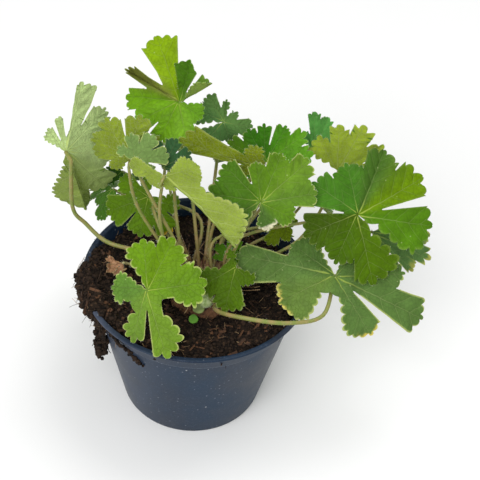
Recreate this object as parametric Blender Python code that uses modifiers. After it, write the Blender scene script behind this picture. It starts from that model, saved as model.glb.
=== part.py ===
"""Potted hardy geranium in a low nursery pot.

The pot stands on z = 0 with its axis on z. +X is the viewer's right and -Y the near side.
Every number is in millimetres and angles are in degrees; MM turns them into metres.
"""
import math
import random

import bmesh
import bpy
from mathutils import Matrix, Vector

MM = 0.001
GAP = 0.3

# Pot
RIM_Z = 92.0
POT_SIDES = 48
POT_PROFILE = [
    (0, 0), (25, 0), (26, 2.6), (33, 2.6), (34, 0), (41.6, 0), (42.6, 0.8),
    (58.2, 78.2), (59.0, 79.0), (62.4, 90.2), (64.7, 90.4), (65.2, 91.2), (64.7, 92.0),
    (62.6, 92.0), (61.6, 91.0), (58.1, 79.6), (57.0, 78.8), (41.6, 2.2), (34.9, 1.6),
    (33.6, 4.0), (25.4, 4.0), (24.3, 1.6), (0, 1.6)]
DRAIN_HOLES = 6
DRAIN_R = 3.2
DRAIN_RING = 29.5

# Soil
SOIL_WALL = [(24.6, 4.4), (33.0, 4.4), (40.9, 4.6), (48.7, 41.0), (56.4, 78.6)]
SOIL_LEVEL = 83.5
SOIL_TOP_R = 58.5
SOIL_RINGS = 8
HEAP_AT = 195
HEAP_RISE = 8.0
SPILL_FROM, SPILL_TO = 150, 238
SPILL_STEPS = 18

# Crown
CROWN_AT = (4.0, -6.0)
CROWN_R = 20.0
CROWN_Z = (71.0, 90.5)
SOCKET_SPACE = 0.56
FOOT_Z = 84.0
FOOT_TOP = 93.0

# Leaves
BLADE = 0.7
STALK_R = (1.05, 0.8)
# Where two lobes part, as a share of their mean length, for a leaf without its own joins.
SINUS = 0.34
JOIN_LIMIT = 1.1
NOTCH_GAP = 0.03
# Half a lobe: midrib station, then the margin point as length and half width of a lobe 1 long.
MARGIN = [(0.30, 0.46, 0.235), (0.30, 0.66, 0.37), (0.58, 0.71, 0.30), (0.58, 0.84, 0.34),
          (0.58, 0.87, 0.21), (1.0, 1.0, 0.0)]
SMALL_MARGIN = [(0.35, 0.50, 0.25), (0.35, 0.72, 0.38), (0.35, 0.80, 0.27), (1.0, 1.0, 0.0)]
SMALL_LEAF = 26

# Each leaf has its hub, the facing of its upper side, its foot in the crown and the way points
# of its stalk. A lobe is (angle, length, width, lift, curl, fold) from the hub, and joins says how
# far out each two neighbours are one sheet, as a share of their mean length.
LEAVES = {
    "leaf_01": dict(
        hub=(-17, 49, 176), az=-12, el=48, foot=(2.0, 0.6), via=[(-12, 45, 154)],
        joins=[0.3, 0.25, 0.35, 0.6, 0.85, 0.62, 0.85, 0.85],
        lobes=[(122, 25, 0.9, 20, 20, (110, 10)), (168, 28, 1.1, 30, 20, 35),
               (216, 44, 0.95, 0, -10, 8), (252, 35, 0.8, 8, 0, 65), (276, 31, 1.1, 0, -10, 8),
               (308, 27, 1.1, 0, -10, 8), (346, 25, 1.1, 0, -10, 8), (386, 27, 1.1, 0, -10, 8),
               (428, 16, 1.1, 0, -10, 8)]),
    "leaf_02": dict(
        hub=(-76, 21, 157), az=-148, el=4, foot=(-7.7, 1.3), steps=3, stalk_r=(1.3, 1.1),
        via=[(-26, 2, 103), (-51, 7, 104), (-65, 12, 113), (-72, 12, 125)],
        joins=[0.4, 0.4, 0.5, 0.8, 0.85, 0.85, 0.8],
        lobes=[(152, 17, 0.8, 25, 0, 0), (178, 22, 0.8, 15, 0, 0), (195, 45, 1, 0, 10, 0),
               (229, 33, 1, 0, 10, 0), (264, 31, 1, 0, 10, 0), (299, 35, 1.1, 0, 10, 0),
               (328, 50, 1, 0, 10, 0), (346, 59, 0.8, 0, 10, 40)]),
    "leaf_03": dict(
        hub=(-54, 45, 111), az=-60, el=45, foot=(-4.5, -2.8), via=[(-35, 36, 105)],
        joins=[0.45, 0.7, 0.5],
        lobes=[(303, 12, 0.9, 0, -10, 0), (336, 17, 0.9, 0, -20, 0), (373, 21, 0.9, 0, -20, 0),
               (438, 14, 0.9, 0, -20, 0)]),
    "leaf_04": dict(
        hub=(-41, 24, 154), az=180, el=8, foot=(-2.2, -7.0), via=[(-34, 9, 129)],
        joins=[0.7, 0.85, 0.85, 0.55, 0.8],
        lobes=[(48, 15, 0.8, 0, 0, 0), (92, 22, 1, 0, 20, 0), (122, 25, 1.1, 0, 20, 0),
               (152, 29, 1.1, 0, 20, 0), (190, 30, 1.1, 0, 20, 0), (226, 22, 1, 0, 20, 0)]),
    "leaf_05": dict(
        hub=(-19, -8, 171), az=165, el=5, foot=(-4.7, -15.4), via=[(-14, 14, 123), (-17, 18, 144)],
        joins=[0.8, 0.6, 0.6, 0.8],
        lobes=[(238, 22, 1.1, 0, 10, 0), (308, 54, 1.05, 0, -15, (5, 40)), (336, 12, 1, 0, 10, 0),
               (400, 14, 1, 0, 10, 0), (448, 21, 1, 0, 10, 0)]),
    "leaf_06": dict(
        hub=(33, 42, 144), az=0, el=55, foot=(5.9, -6.0), via=[(19, 35, 119)],
        joins=[0.8, 0.8, 0.45, 0.8, 0.75, 0.7],
        lobes=[(103, 28, 0.9, 10, 0, 0), (128, 29, 0.9, 10, 10, 10), (152, 24, 1, 15, 10, 0),
               (186, 22, 1, 20, 10, 20), (213, 21, 1, 10, 10, 0), (248, 24, 1.1, 5, 10, 0),
               (300, 16, 0.9, 0, 0, 0)]),
    "leaf_07": dict(
        hub=(32, -1, 152), az=5, el=50, foot=(8.1, -13.9), via=[(18, -6, 112), (28, 1, 139)],
        joins=[0.8, 0.8, 0.85, 0.85, 0.8, 0.45, 0.85, 0.85],
        lobes=[(17, 16, 0.9, 0, -15, 5), (66, 21, 0.9, 0, -15, 5), (102, 32, 1.1, 0, -15, 5),
               (133, 37, 1, 0, -20, 5), (158, 29, 1, 8, -15, 5), (188, 22, 0.9, 8, 0, 20),
               (226, 29, 1, 0, -10, 5), (262, 30, 1, 0, -10, 5), (300, 25, 1.1, 0, -15, 5)]),
    "leaf_08": dict(
        hub=(86, 10, 139), az=12, el=48, foot=(12.2, -3.3), via=[(24, 6, 119)],
        joins=[0.32, 0.78, 0.8, 0.8, 0.25, 0.8, 0.75],
        lobes=[(79, 44, 1.1, 0, -10, 5), (116, 43, 1.1, 5, -10, 5), (153, 39, 1.1, 5, -10, 30),
               (190, 29, 1, 10, -10, 5), (233, 31, 1.1, 10, -15, 5), (288, 32, 1.1, 0, -15, 5),
               (332, 30, 0.9, 0, -15, 5), (371, 40, 1.1, 0, -15, 5)]),
    "leaf_09": dict(
        hub=(98, 26, 112), az=20, el=50, foot=(17.8, -4.3), via=[(37, 0, 105)],
        joins=[0.55, 0.85, 0.85],
        lobes=[(20, 21, 0.8, 0, -10, 0), (40, 34, 0.9, 0, -10, 0), (58, 40, 0.95, 0, -10, 0),
               (78, 37, 0.9, 0, -10, 0)]),
    "leaf_10": dict(
        hub=(76, 50, 135), az=170, el=10, foot=(13.3, 1.0), via=[(56, 13, 113)],
        joins=[0.75, 0.8, 0.75, 0.7],
        lobes=[(151, 28, 1, 0, 10, -20), (176, 36, 1, 0, 10, 0), (196, 40, 1.1, 0, 10, 0),
               (221, 35, 0.9, 0, 10, -30), (240, 22, 0.9, 0, 0, 0)]),
    "leaf_11": dict(
        hub=(61, 61, 140), az=20, el=35, foot=(7.4, -2.0), via=[(31, 40, 105)],
        joins=[0.85, 0.85, 0.7],
        lobes=[(120, 19, 1.1, 0, 0, 0), (147, 21, 1.2, 0, -10, 10), (174, 22, 1.2, 0, 0, 20),
               (204, 13, 1, 0, 0, 30)]),
    "leaf_12": dict(
        hub=(8, 56, 159), az=10, el=50, foot=(3.4, 5.9), via=[(6, 53, 139)],
        joins=[0.8, 0.8, 0.7, 0.35, 0.6, 0.85],
        lobes=[(317, 21, 1.2, 0, -15, 0), (380, 12, 1.1, 0, -15, 0), (440, 17, 1, 0, -10, 0),
               (482, 10, 0.9, 0, 10, 0), (530, 13, 0.7, 0, 10, 40), (567, 18, 1.2, 0, 0, 0),
               (603, 19, 1.1, 0, -10, 0)]),
    "leaf_13": dict(
        hub=(-24, -43, 121), az=-3, el=46, foot=(0.2, -12.5), via=[(-19, -30, 108)],
        joins=[0.5, 0.33, 0.27, 0.7, 0.8],
        lobes=[(272, 19, 1.25, 0, -10, 5), (352, 29, 0.68, 0, -10, 5), (384, 38, 0.8, 0, -10, 5),
               (465, 32, 1.1, 0, -10, 5), (520, 31, 1.1, 0, -10, 5), (551, 27, 1.0, 8, -10, 5)]),
    "leaf_14": dict(
        hub=(-31, 26, 124), az=-8, el=48, foot=(-8.5, -5.5), via=[(-25, 14, 119)],
        joins=[0.6, 0.6, 0.45, 0.7, 0.65],
        lobes=[(200, 12, 1, 0, 0, 0), (246, 20, 1.1, 0, 0, 0), (300, 26, 1.15, 0, -10, 0),
               (358, 23, 1.15, 0, -12, 0), (404, 24, 1.1, 0, -15, 0), (442, 19, 1, 0, -15, 0)]),
    "leaf_15": dict(
        hub=(77, -11, 111), az=4, el=56, foot=(14.7, -8.1), steps=3, stalk_r=(1.3, 1.1),
        via=[(13, -32, 98), (30, -41, 103), (53, -39, 100), (72, -29, 98)],
        joins=[0.85, 0.8, 0.25, 0.3, 0.8, 0.6],
        lobes=[(236, 30, 1, 0, 0, 0), (260, 56, 0.9, 0, -5, 0), (297, 35, 1.15, 0, -20, 0),
               (394, 39, 0.85, 0, -20, 0), (428, 56, 0.95, 0, -20, 0), (455, 40, 0.8, 0, -10, 0),
               (500, 19, 0.8, 0, 0, 0)]),
    "leaf_16": dict(
        hub=(22, -16, 116), az=5, el=50, foot=(13.1, -14.2), via=[(20, -16, 96), (21, -12, 103)],
        joins=[0.5, 0.75, 0.7],
        lobes=[(203, 11, 0.8, 10, 0, 0), (300, 24, 1.1, 0, -10, 0), (347, 25, 1.15, 0, -15, 0),
               (408, 13, 1, 0, -10, 0)]),
    "leaf_17": dict(
        hub=(16, 4, 101), az=0, el=60, foot=(18.0, -11.8), via=[(19, -1, 98), (17, 6, 95)],
        joins=[0.6, 0.6, 0.6],
        lobes=[(108, 13, 1.1, 0, 0, 0), (158, 15, 1.1, 0, 0, 0), (214, 11, 1, 0, 0, 0),
               (258, 8, 0.9, 0, -10, 0)]),
    "leaf_18": dict(
        hub=(46, 24, 116), az=10, el=55, foot=(9.9, -9.4), via=[(9, 10, 111)],
        joins=[0.7, 0.7, 0.6],
        lobes=[(286, 13, 0.8, 0, 0, 0), (325, 16, 1, 0, -10, 0), (376, 12, 1, 0, -10, 0),
               (448, 9, 0.9, 0, 0, 0)]),
    "leaf_19": dict(
        hub=(-49, 51, 120), az=-30, el=50, foot=(1.4, -3.8), via=[(-37, 44, 106)], joins=[0.6, 0.5],
        lobes=[(282, 11, 0.9, 0, 0, 0), (336, 11, 0.9, 0, 0, 0), (422, 10, 0.9, 0, 0, 0)]),
    "leaf_20": dict(
        hub=(-37, 9, 166), az=15, el=52, foot=(4.4, -10.2), via=[(-31, 10, 146)],
        joins=[0.55, 0.6, 0.6, 0.55],
        lobes=[(50, 13, 1.1, 0, -20, 0), (92, 19, 1.15, 8, -20, 0), (134, 17, 1.1, 5, 0, 0),
               (182, 14, 1.1, 5, 0, 0), (226, 11, 1, 0, 0, 0)]),
    "leaf_21": dict(
        hub=(-22, 13, 159), az=-10, el=50, foot=(-10.4, -10.1), via=[(-22, 1, 132)],
        joins=[0.6, 0.6, 0.6],
        lobes=[(88, 13, 1, 5, 0, 0), (126, 18, 1.1, 12, 0, 0), (164, 17, 1.1, 8, 0, 0),
               (212, 15, 1.1, 0, 0, 0)]),
    "leaf_22": dict(
        hub=(-24, 70, 128), az=176, el=52, foot=(-2.1, 7.0), via=[(-15, 22, 108)],
        joins=[0.76, 0.84, 0.6, 0.68, 0.76, 0.84],
        lobes=[(-148, 20, 1.1, -4, -12, 6), (-99, 25, 1.1, 8, -12, 6), (-46, 29, 1.1, 8, -12, 6),
               (1, 31, 1.1, 0, -12, 6), (45, 29, 1.1, -4, -12, 6), (100, 24, 1.1, 8, -12, 6),
               (144, 19, 1.1, -4, -12, 6)]),
    "leaf_23": dict(
        hub=(26, 74, 120), az=-170, el=48, foot=(7.0, 2.7), via=[(20, 45, 106)],
        joins=[0.84, 0.6, 0.68, 0.76, 0.84, 0.6],
        lobes=[(-141, 18, 1.1, -4, -12, 6), (-100, 23, 1.1, 4, -12, 6), (-46, 27, 1.1, 4, -12, 6),
               (-2, 28, 1.1, 0, -12, 6), (49, 26, 1.1, 0, -12, 6), (101, 23, 1.1, 8, -12, 6),
               (147, 18, 1.1, 4, -12, 6)]),
    "leaf_24": dict(
        hub=(60, 62, 102), az=140, el=50, foot=(11.4, 5.6), via=[(28, 19, 99), (45, 39, 95)],
        joins=[0.6, 0.68, 0.76, 0.84, 0.6],
        lobes=[(-147, 15, 1.1, 0, -12, 6), (-88, 20, 1.1, 8, -12, 6), (-28, 24, 1.1, -4, -12, 6),
               (30, 25, 1.1, 8, -12, 6), (85, 22, 1.1, 0, -12, 6), (143, 17, 1.1, 8, -12, 6)]),
    "leaf_25": dict(
        hub=(-53, 69, 96), az=-140, el=50, foot=(-2.5, 2.4), via=[(-3, 28, 112)],
        joins=[0.68, 0.76, 0.84, 0.6, 0.68],
        lobes=[(-147, 16, 1.1, -4, -12, 6), (-85, 20, 1.1, 8, -12, 6), (-32, 24, 1.1, -4, -12, 6),
               (25, 25, 1.1, 4, -12, 6), (89, 23, 1.1, -4, -12, 6), (143, 18, 1.1, 4, -12, 6)]),
    "leaf_26": dict(
        hub=(33, 19, 160), az=176, el=10, foot=(4.5, 1.6), via=[(9, 17, 122)], joins=[0.6, 0.7],
        lobes=[(70, 17, 1, 0, 0, 0), (101, 49, 0.95, 0, 10, 0), (146, 17, 1, 0, 10, 0)]),
    "dead_leaf": dict(
        hub=(-42, -2, 98), az=-35, el=42, foot=(-5.4, -10.9), via=[(-15, -15, 98), (-27, -9, 96)],
        lobes=[(-70, 10, 1, 20, 50, 30), (-15, 13, 1, 25, 60, 30), (40, 12, 1, 20, 50, 20)]),
}

DRY_R = (1.0, 0.6)

DRY_STALKS = {
    "dry_stalk_1": ((2.5, -16.5, FOOT_Z), (1.0, -22.0, 101.0)),
    "dry_stalk_2": ((-1.4, -19.5, FOOT_Z), (-6.0, -27.0, 98.0)),
}

BUD_FOOT = (7.2, -18.7)
BUD_AT = (7.0, -24.0, 96.5)
BUD_R = 4.3
BUD_STALK_R = 1.1


def clear_scene():
    for ob in list(bpy.data.objects):
        bpy.data.objects.remove(ob, do_unlink=True)


def new_collection(name, hidden=False):
    coll = bpy.data.collections.new(name)
    bpy.context.scene.collection.children.link(coll)
    coll.hide_render = hidden
    return coll


def new_material(name, colour, roughness):
    mat = bpy.data.materials.new(name)
    mat.use_nodes = True
    shader = mat.node_tree.nodes["Principled BSDF"]
    shader.inputs["Base Color"].default_value = (*colour, 1)
    shader.inputs["Roughness"].default_value = roughness
    return mat


def new_object(name, bm, coll, mat=None):
    """Turn a bmesh in millimetres into an object of the collection."""
    bmesh.ops.scale(bm, vec=(MM, MM, MM), verts=bm.verts)
    mesh = bpy.data.meshes.new(name)
    bm.to_mesh(mesh)
    bm.free()
    ob = bpy.data.objects.new(name, mesh)
    coll.objects.link(ob)
    if mat:
        mesh.materials.append(mat)
    return ob


def hide_cutter(ob):
    ob.hide_render = True
    ob.display_type = "WIRE"
    return ob


def boolean(ob, other, operation):
    mod = ob.modifiers.new(operation.title() + " " + other.name, "BOOLEAN")
    mod.operation = operation
    mod.solver = "EXACT"
    mod.object = other


def lathe(profile, sides):
    """Turn an open profile that starts and ends on the axis, or a closed one that misses it."""
    bm = bmesh.new()
    verts = [bm.verts.new((r, 0, z)) for r, z in profile]
    edges = [bm.edges.new(pair) for pair in zip(verts, verts[1:])]
    if profile[0][0] > 0:
        edges.append(bm.edges.new((verts[-1], verts[0])))
    bmesh.ops.spin(bm, geom=verts + edges, axis=(0, 0, 1), cent=(0, 0, 0), dvec=(0, 0, 0),
                   angle=math.tau, steps=sides, use_duplicate=False)
    bmesh.ops.remove_doubles(bm, verts=bm.verts, dist=0.01)
    bmesh.ops.recalc_face_normals(bm, faces=bm.faces)
    return bm


def rod(start, end, radius, sides, tip=None):
    """A straight round bar, or a cone with its tip radius, between two points."""
    start, end = Vector(start), Vector(end)
    bm = bmesh.new()
    turn = (end - start).to_track_quat("Z", "Y").to_matrix().to_4x4()
    place = Matrix.Translation((start + end) / 2) @ turn
    bmesh.ops.create_cone(bm, cap_ends=True, segments=sides, radius1=radius,
                          radius2=radius if tip is None else tip,
                          depth=(end - start).length, matrix=place)
    return bm


def build_pot(coll, cutters, mat):
    pot = new_object("pot", lathe(POT_PROFILE, POT_SIDES), coll, mat)
    for k in range(DRAIN_HOLES):
        a = math.tau * (k + 0.5) / DRAIN_HOLES
        x, y = DRAIN_RING * math.cos(a), DRAIN_RING * math.sin(a)
        hole = new_object(f"drain_cutter_{k + 1}", rod((x, y, 1), (x, y, 6), DRAIN_R, 12), cutters)
        boolean(pot, hide_cutter(hole), "DIFFERENCE")
    return pot


def soil_height(x, y, rng):
    """Level peat with lumps, heaped towards the left side of the pot."""
    r = math.hypot(x, y)
    toward = math.cos(math.atan2(y, x) - math.radians(HEAP_AT))
    heap = HEAP_RISE * max(0.0, toward) ** 1.5 * min(1.0, r / 50) ** 2
    dip = -2.0 * max(0.0, 1 - abs(r - 40) / 14) * max(0.0, -toward)
    return SOIL_LEVEL + heap + dip + rng.uniform(-1.0, 1.0)


def build_soil(coll, cutters, mat):
    rng = random.Random(7)
    rings = [(SOIL_TOP_R * k / SOIL_RINGS, None) for k in range(SOIL_RINGS + 1)]
    profile = [(0, 4.4)] + SOIL_WALL + [(57.5, 80.4)] + rings[::-1]
    bm = lathe([(r, SOIL_LEVEL if z is None else z) for r, z in profile], POT_SIDES)
    for v in bm.verts:
        if v.co.z > SOIL_LEVEL - 0.5:
            v.co.z = soil_height(v.co.x, v.co.y, rng)
    soil = new_object("soil", bm, coll, mat)
    boolean(soil, hide_cutter(new_object("spill_body", spill_bmesh(rng), cutters)), "UNION")
    ring = lathe([(50.9, 50), (56.8, 79.2), (57.75, 79.8), (61.2, 91.2), (62.45, 92.4), (64.8, 92.4),
                  (65.6, 91.2), (64.9, 90.0), (62.75, 89.8), (59.45, 78.8), (58.6, 78), (53.0, 50)],
                 POT_SIDES)
    boolean(soil, hide_cutter(new_object("wall_cutter", ring, cutters)), "DIFFERENCE")
    x, y = CROWN_AT
    pit = rod((x, y, CROWN_Z[0] - GAP), (x, y, 120), CROWN_R + 0.4, 24)
    boolean(soil, hide_cutter(new_object("pit_cutter", pit, cutters)), "DIFFERENCE")
    return soil


def wall_middle(z):
    return 42.1 + 0.2015 * z


def spill_bmesh(rng):
    """The peat that lies over the left rim and hangs down outside it."""
    bm = bmesh.new()
    loops = []
    for k in range(SPILL_STEPS + 1):
        t = k / SPILL_STEPS
        angle = math.radians(SPILL_FROM + (SPILL_TO - SPILL_FROM) * t)
        full = max(0.0, math.sin(math.pi * t)) ** 0.5
        low = 90 - full * (14 + 9 * math.sin(5 * t) + rng.uniform(-5, 5))
        section = [(46, 79), (51, 89.5), (57, 94.2), (62.5, 95.4), (66.8, 93.6), (68.2, 89),
                   (wall_middle(low) + 7, (low + 88) / 2), (wall_middle(low) + 4.5, low),
                   (wall_middle(low), low + 1), (61.3, 88.5)]
        loop = []
        for n, (r, z) in enumerate(section):
            if 1 <= n <= 7:
                r += rng.uniform(-0.9, 0.9)
                z += rng.uniform(-0.9, 0.9)
            grow = 0.12 + 0.88 * full
            r, z = 46 + (r - 46) * grow, 79 + (z - 79) * grow
            loop.append(bm.verts.new((r * math.cos(angle), r * math.sin(angle), z)))
        loops.append(loop)
    for a, b in zip(loops, loops[1:]):
        for n in range(len(a)):
            m = (n + 1) % len(a)
            bm.faces.new((a[n], a[m], b[m], b[n]))
    bm.faces.new(loops[0])
    bm.faces.new(loops[-1][::-1])
    bmesh.ops.triangulate(bm, faces=bm.faces)
    bmesh.ops.recalc_face_normals(bm, faces=bm.faces)
    return bm


def build_crown(coll, cutters, mat, feet):
    """The rootstock, with a slanting socket for each stalk that stands in it."""
    low, high = CROWN_Z
    profile = [(0, low), (CROWN_R - 4, low), (CROWN_R, low + 4), (CROWN_R, 83), (CROWN_R - 1.5, 87),
               (CROWN_R - 5, 89.5), (CROWN_R - 11, high), (0, high + 0.6)]
    bm = lathe(profile, 24)
    rng = random.Random(3)
    for v in bm.verts:
        if v.co.z > 86:
            v.co.z += rng.uniform(-0.7, 0.5)
    bmesh.ops.translate(bm, vec=(*CROWN_AT, 0), verts=bm.verts)
    crown = new_object("crown", bm, coll, mat)
    for name, (foot, lean, radius) in feet.items():
        bottom = foot - lean * 0.45
        bore = rod(bottom, foot + lean * 16, radius + SOCKET_SPACE, 6)
        boolean(crown, hide_cutter(new_object("socket_" + name, bore, cutters)), "DIFFERENCE")
    return crown


def facing(azimuth, elevation):
    """Axes of a blade: down its slope, across it and out of its upper face."""
    a, e = math.radians(azimuth), math.radians(elevation)
    out = Vector((math.cos(e) * math.sin(a), -math.cos(e) * math.cos(a), math.sin(e)))
    flat = Vector((math.sin(a), -math.cos(a), 0))
    down = flat * math.sin(e) - Vector((0, 0, 1)) * math.cos(e)
    return down, out.cross(down), out


def bent(along, across, lobe):
    """Carry a point of the flat lobe on to its curved midrib and folded halves."""
    angle, length, _, lift, curl, fold = lobe
    start = math.radians(lift)
    rate = math.radians(curl if abs(curl) > 0.1 else 0.1) / length
    slope = start + rate * along
    x = (math.sin(slope) - math.sin(start)) / rate
    z = -(math.cos(slope) - math.cos(start)) / rate
    near, far = fold if isinstance(fold, tuple) else (fold, fold)
    tilt = math.radians(far if across > 0 else near) * min(1.0, max(0.0, 3 * along / length))
    rise = abs(across) * math.sin(tilt)
    side = across * math.cos(tilt)
    x, z = x - math.sin(slope) * rise, z + math.cos(slope) * rise
    c, s = math.cos(math.radians(angle)), math.sin(math.radians(angle))
    return Vector((x * c - side * s, x * s + side * c, z))


def blade_point(along, across, lobe, other, half_gap, sinus):
    """A point of one lobe, eased into the next lobe where the two are joined."""
    own = bent(along, across, lobe)
    if other is None or along == 0:
        return own
    gap = math.radians(2 * half_gap) * (1 if across > 0 else -1)
    a2 = along * math.cos(gap) + across * math.sin(gap)
    w2 = across * math.cos(gap) - along * math.sin(gap)
    theta = math.degrees(math.atan2(abs(across), along))
    reach = math.hypot(along, across) / sinus
    share = 0.5 * min(1.0, theta / half_gap) ** 1.5 * min(1.0, max(0.0, 1 - (reach - 1) / 0.6))
    return own.lerp(bent(a2, w2, other), share)


def half_lobe(leaf, i, side):
    """Rows of a half lobe: a midrib point and a margin point, in the leaf's own axes."""
    lobes = leaf["lobes"]
    lobe = lobes[i]
    other = lobes[i + side] if 0 <= i + side < len(lobes) else None
    length, width = lobe[1], lobe[2]
    half_gap = abs(other[0] - lobe[0]) / 2 if other else 32
    sinus = 1.0
    if other:
        join = leaf["joins"][min(i, i + side)] if "joins" in leaf else SINUS
        sinus = join * min((length + other[1]) / 2, JOIN_LIMIT * min(length, other[1]))
    a = math.radians(half_gap)
    notch = (sinus * math.cos(a), sinus * math.sin(a)) if other else (0.1 * length, 0.05 * length)
    margin = MARGIN if max(lb[1] for lb in lobes) > SMALL_LEAF else SMALL_MARGIN
    rows = [(0, 0, 0), (margin[0][0] * length, *notch)]
    low, start = margin[0][1], notch[0] / length
    for station, s, w in margin:
        w *= width
        if other and start > low - NOTCH_GAP:
            s = start + NOTCH_GAP + (1 - NOTCH_GAP - start) * (s - low) / (1 - low)
        if other:
            w = min(w, s * math.tan(min(a, math.radians(80))) - 0.012)
        rows.append((station * length, s * length, w * length))
    points = []
    for station, s, w in rows:
        middle = blade_point(station, 0, lobe, None, half_gap, sinus)
        points.append((middle, blade_point(s, side * w, lobe, other, half_gap, sinus)))
    return points


def blade_bmesh(leaf):
    """The blade as one open sheet of triangles that share their midrib points."""
    down, across, out = facing(leaf["az"], leaf["el"])
    hub = Vector(leaf["hub"])
    bm = bmesh.new()
    for i in range(len(leaf["lobes"])):
        for side in (1, -1):
            rows = half_lobe(leaf, i, side)
            last = len(rows) - 1
            grid = bmesh.ops.create_grid(bm, x_segments=1, y_segments=last, size=1)
            for v in grid["verts"]:
                row = round((v.co.y + 1) / 2 * last)
                p = rows[row][1 if v.co.x > 0 else 0]
                v.co = hub + down * p.x + across * p.y + out * p.z
            if side < 0:
                faces = list({f for v in grid["verts"] for f in v.link_faces})
                bmesh.ops.reverse_faces(bm, faces=faces)
    bmesh.ops.remove_doubles(bm, verts=bm.verts, dist=0.02)
    bmesh.ops.triangulate(bm, faces=bm.faces)
    return bm


def stalk_axis(leaf):
    """Foot point in the crown and the direction in which the stalk leaves it."""
    foot = Vector((*leaf["foot"], FOOT_Z))
    lean = Vector(leaf["via"][0]) - Vector((foot.x, foot.y, 92))
    lean = (lean.normalized() * 0.6 + Vector((0, 0, 0.5))).normalized()
    return foot, lean


def stalk_points(leaf, steps):
    """A smooth line from the foot through the way points to the underside of the hub."""
    foot, lean = stalk_axis(leaf)
    out = facing(leaf["az"], leaf["el"])[2]
    hub = Vector(leaf["hub"])
    top = foot + lean * ((FOOT_TOP - FOOT_Z) / max(lean.z, 0.5))
    knots = [top] + [Vector(p) for p in leaf["via"]] + [hub - out * 7]
    chain = [foot] + knots + [hub]
    points = [foot]
    for k in range(1, len(chain) - 2):
        a, b, c, d = chain[k - 1:k + 3]
        for n in range(steps):
            t = n / steps
            points.append(0.5 * (2 * b + (c - a) * t + (2 * a - 5 * b + 4 * c - d) * t * t
                                 + (3 * b - a - 3 * c + d) * t ** 3))
    points.append(knots[-1])
    points.append(hub + out * leaf.get("poke", 0.8))
    return points


def tube(name, points, radii, coll):
    """A six-sided tube with closed ends along a line of points."""
    curve = bpy.data.curves.new(name, "CURVE")
    curve.dimensions = "3D"
    curve.bevel_depth = MM
    curve.bevel_resolution = 1
    curve.use_fill_caps = True
    spline = curve.splines.new("POLY")
    spline.points.add(len(points) - 1)
    for n, (p, q) in enumerate(zip(points, spline.points)):
        t = n / (len(points) - 1)
        q.co = (*(p * MM), 1)
        q.radius = radii[0] + (radii[1] - radii[0]) * t
    shape = bpy.data.objects.new(name, curve)
    coll.objects.link(shape)
    bpy.context.view_layer.update()
    mesh = bpy.data.meshes.new_from_object(shape)
    bpy.data.objects.remove(shape, do_unlink=True)
    bm = bmesh.new()
    bm.from_mesh(mesh)
    bmesh.ops.remove_doubles(bm, verts=bm.verts, dist=0.00002)
    bmesh.ops.recalc_face_normals(bm, faces=bm.faces)
    bm.to_mesh(mesh)
    bm.free()
    ob = bpy.data.objects.new(name, mesh)
    coll.objects.link(ob)
    return ob


def build_leaf(name, leaf, coll, cutters, mat):
    ob = new_object(name, blade_bmesh(leaf), coll, mat)
    skin = ob.modifiers.new("Blade thickness", "SOLIDIFY")
    skin.thickness = leaf.get("thick", BLADE) * MM
    skin.offset = 0
    points = stalk_points(leaf, leaf.get("steps", 2))
    stalk = tube(name + "_stalk", points, leaf.get("stalk_r", STALK_R), cutters)
    boolean(ob, hide_cutter(stalk), "UNION")
    return ob


def build_bud(coll, cutters, mat):
    """A round flower bud on a short stalk of its own."""
    foot, centre = Vector((*BUD_FOOT, FOOT_Z)), Vector(BUD_AT)
    bm = bmesh.new()
    bmesh.ops.create_uvsphere(bm, u_segments=12, v_segments=8, radius=BUD_R,
                              matrix=Matrix.Translation(centre))
    bud = new_object("bud", bm, coll, mat)
    stalk = new_object("bud_stalk", rod(foot, centre, BUD_STALK_R, 6), cutters)
    boolean(bud, hide_cutter(stalk), "UNION")
    return foot, (centre - foot).normalized(), BUD_STALK_R


def main():
    clear_scene()
    plant = new_collection("potted_hardy_geranium")
    cutters = new_collection("cutters", hidden=True)
    green = new_material("leaf green", (0.16, 0.32, 0.06), 0.5)
    peat = new_material("peat", (0.06, 0.04, 0.03), 0.95)
    wood = new_material("rootstock", (0.25, 0.15, 0.09), 0.9)
    brown = new_material("dead leaf brown", (0.42, 0.28, 0.17), 0.85)
    build_pot(plant, cutters, new_material("pot plastic", (0.07, 0.09, 0.13), 0.45))
    build_soil(plant, cutters, peat)
    feet = {}
    for name, leaf in LEAVES.items():
        foot, lean = stalk_axis(leaf)
        feet[name] = (foot, lean, leaf.get("stalk_r", STALK_R)[0])
        build_leaf(name, leaf, plant, cutters, brown if name.startswith("dead") else green)
    feet["bud"] = build_bud(plant, cutters, green)
    for name, (foot, tip) in DRY_STALKS.items():
        foot, tip = Vector(foot), Vector(tip)
        feet[name] = (foot, (tip - foot).normalized(), DRY_R[0])
        new_object(name, rod(foot, tip, DRY_R[0], 6, DRY_R[1]), plant, brown)
    build_crown(plant, cutters, wood, feet)


main()
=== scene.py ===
"""Looks of the potted hardy geranium: a leafy plant in peat, in a low nursery pot.

Sizes in the tables are in millimetres and turned into metres by MM. Angles are in degrees.
+X is the viewer's right, -Y the near side, and the pot stands on z = 0 with its axis on z.
"""
import math
import random

import bmesh
import bpy
from mathutils import Matrix, Vector, noise


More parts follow.
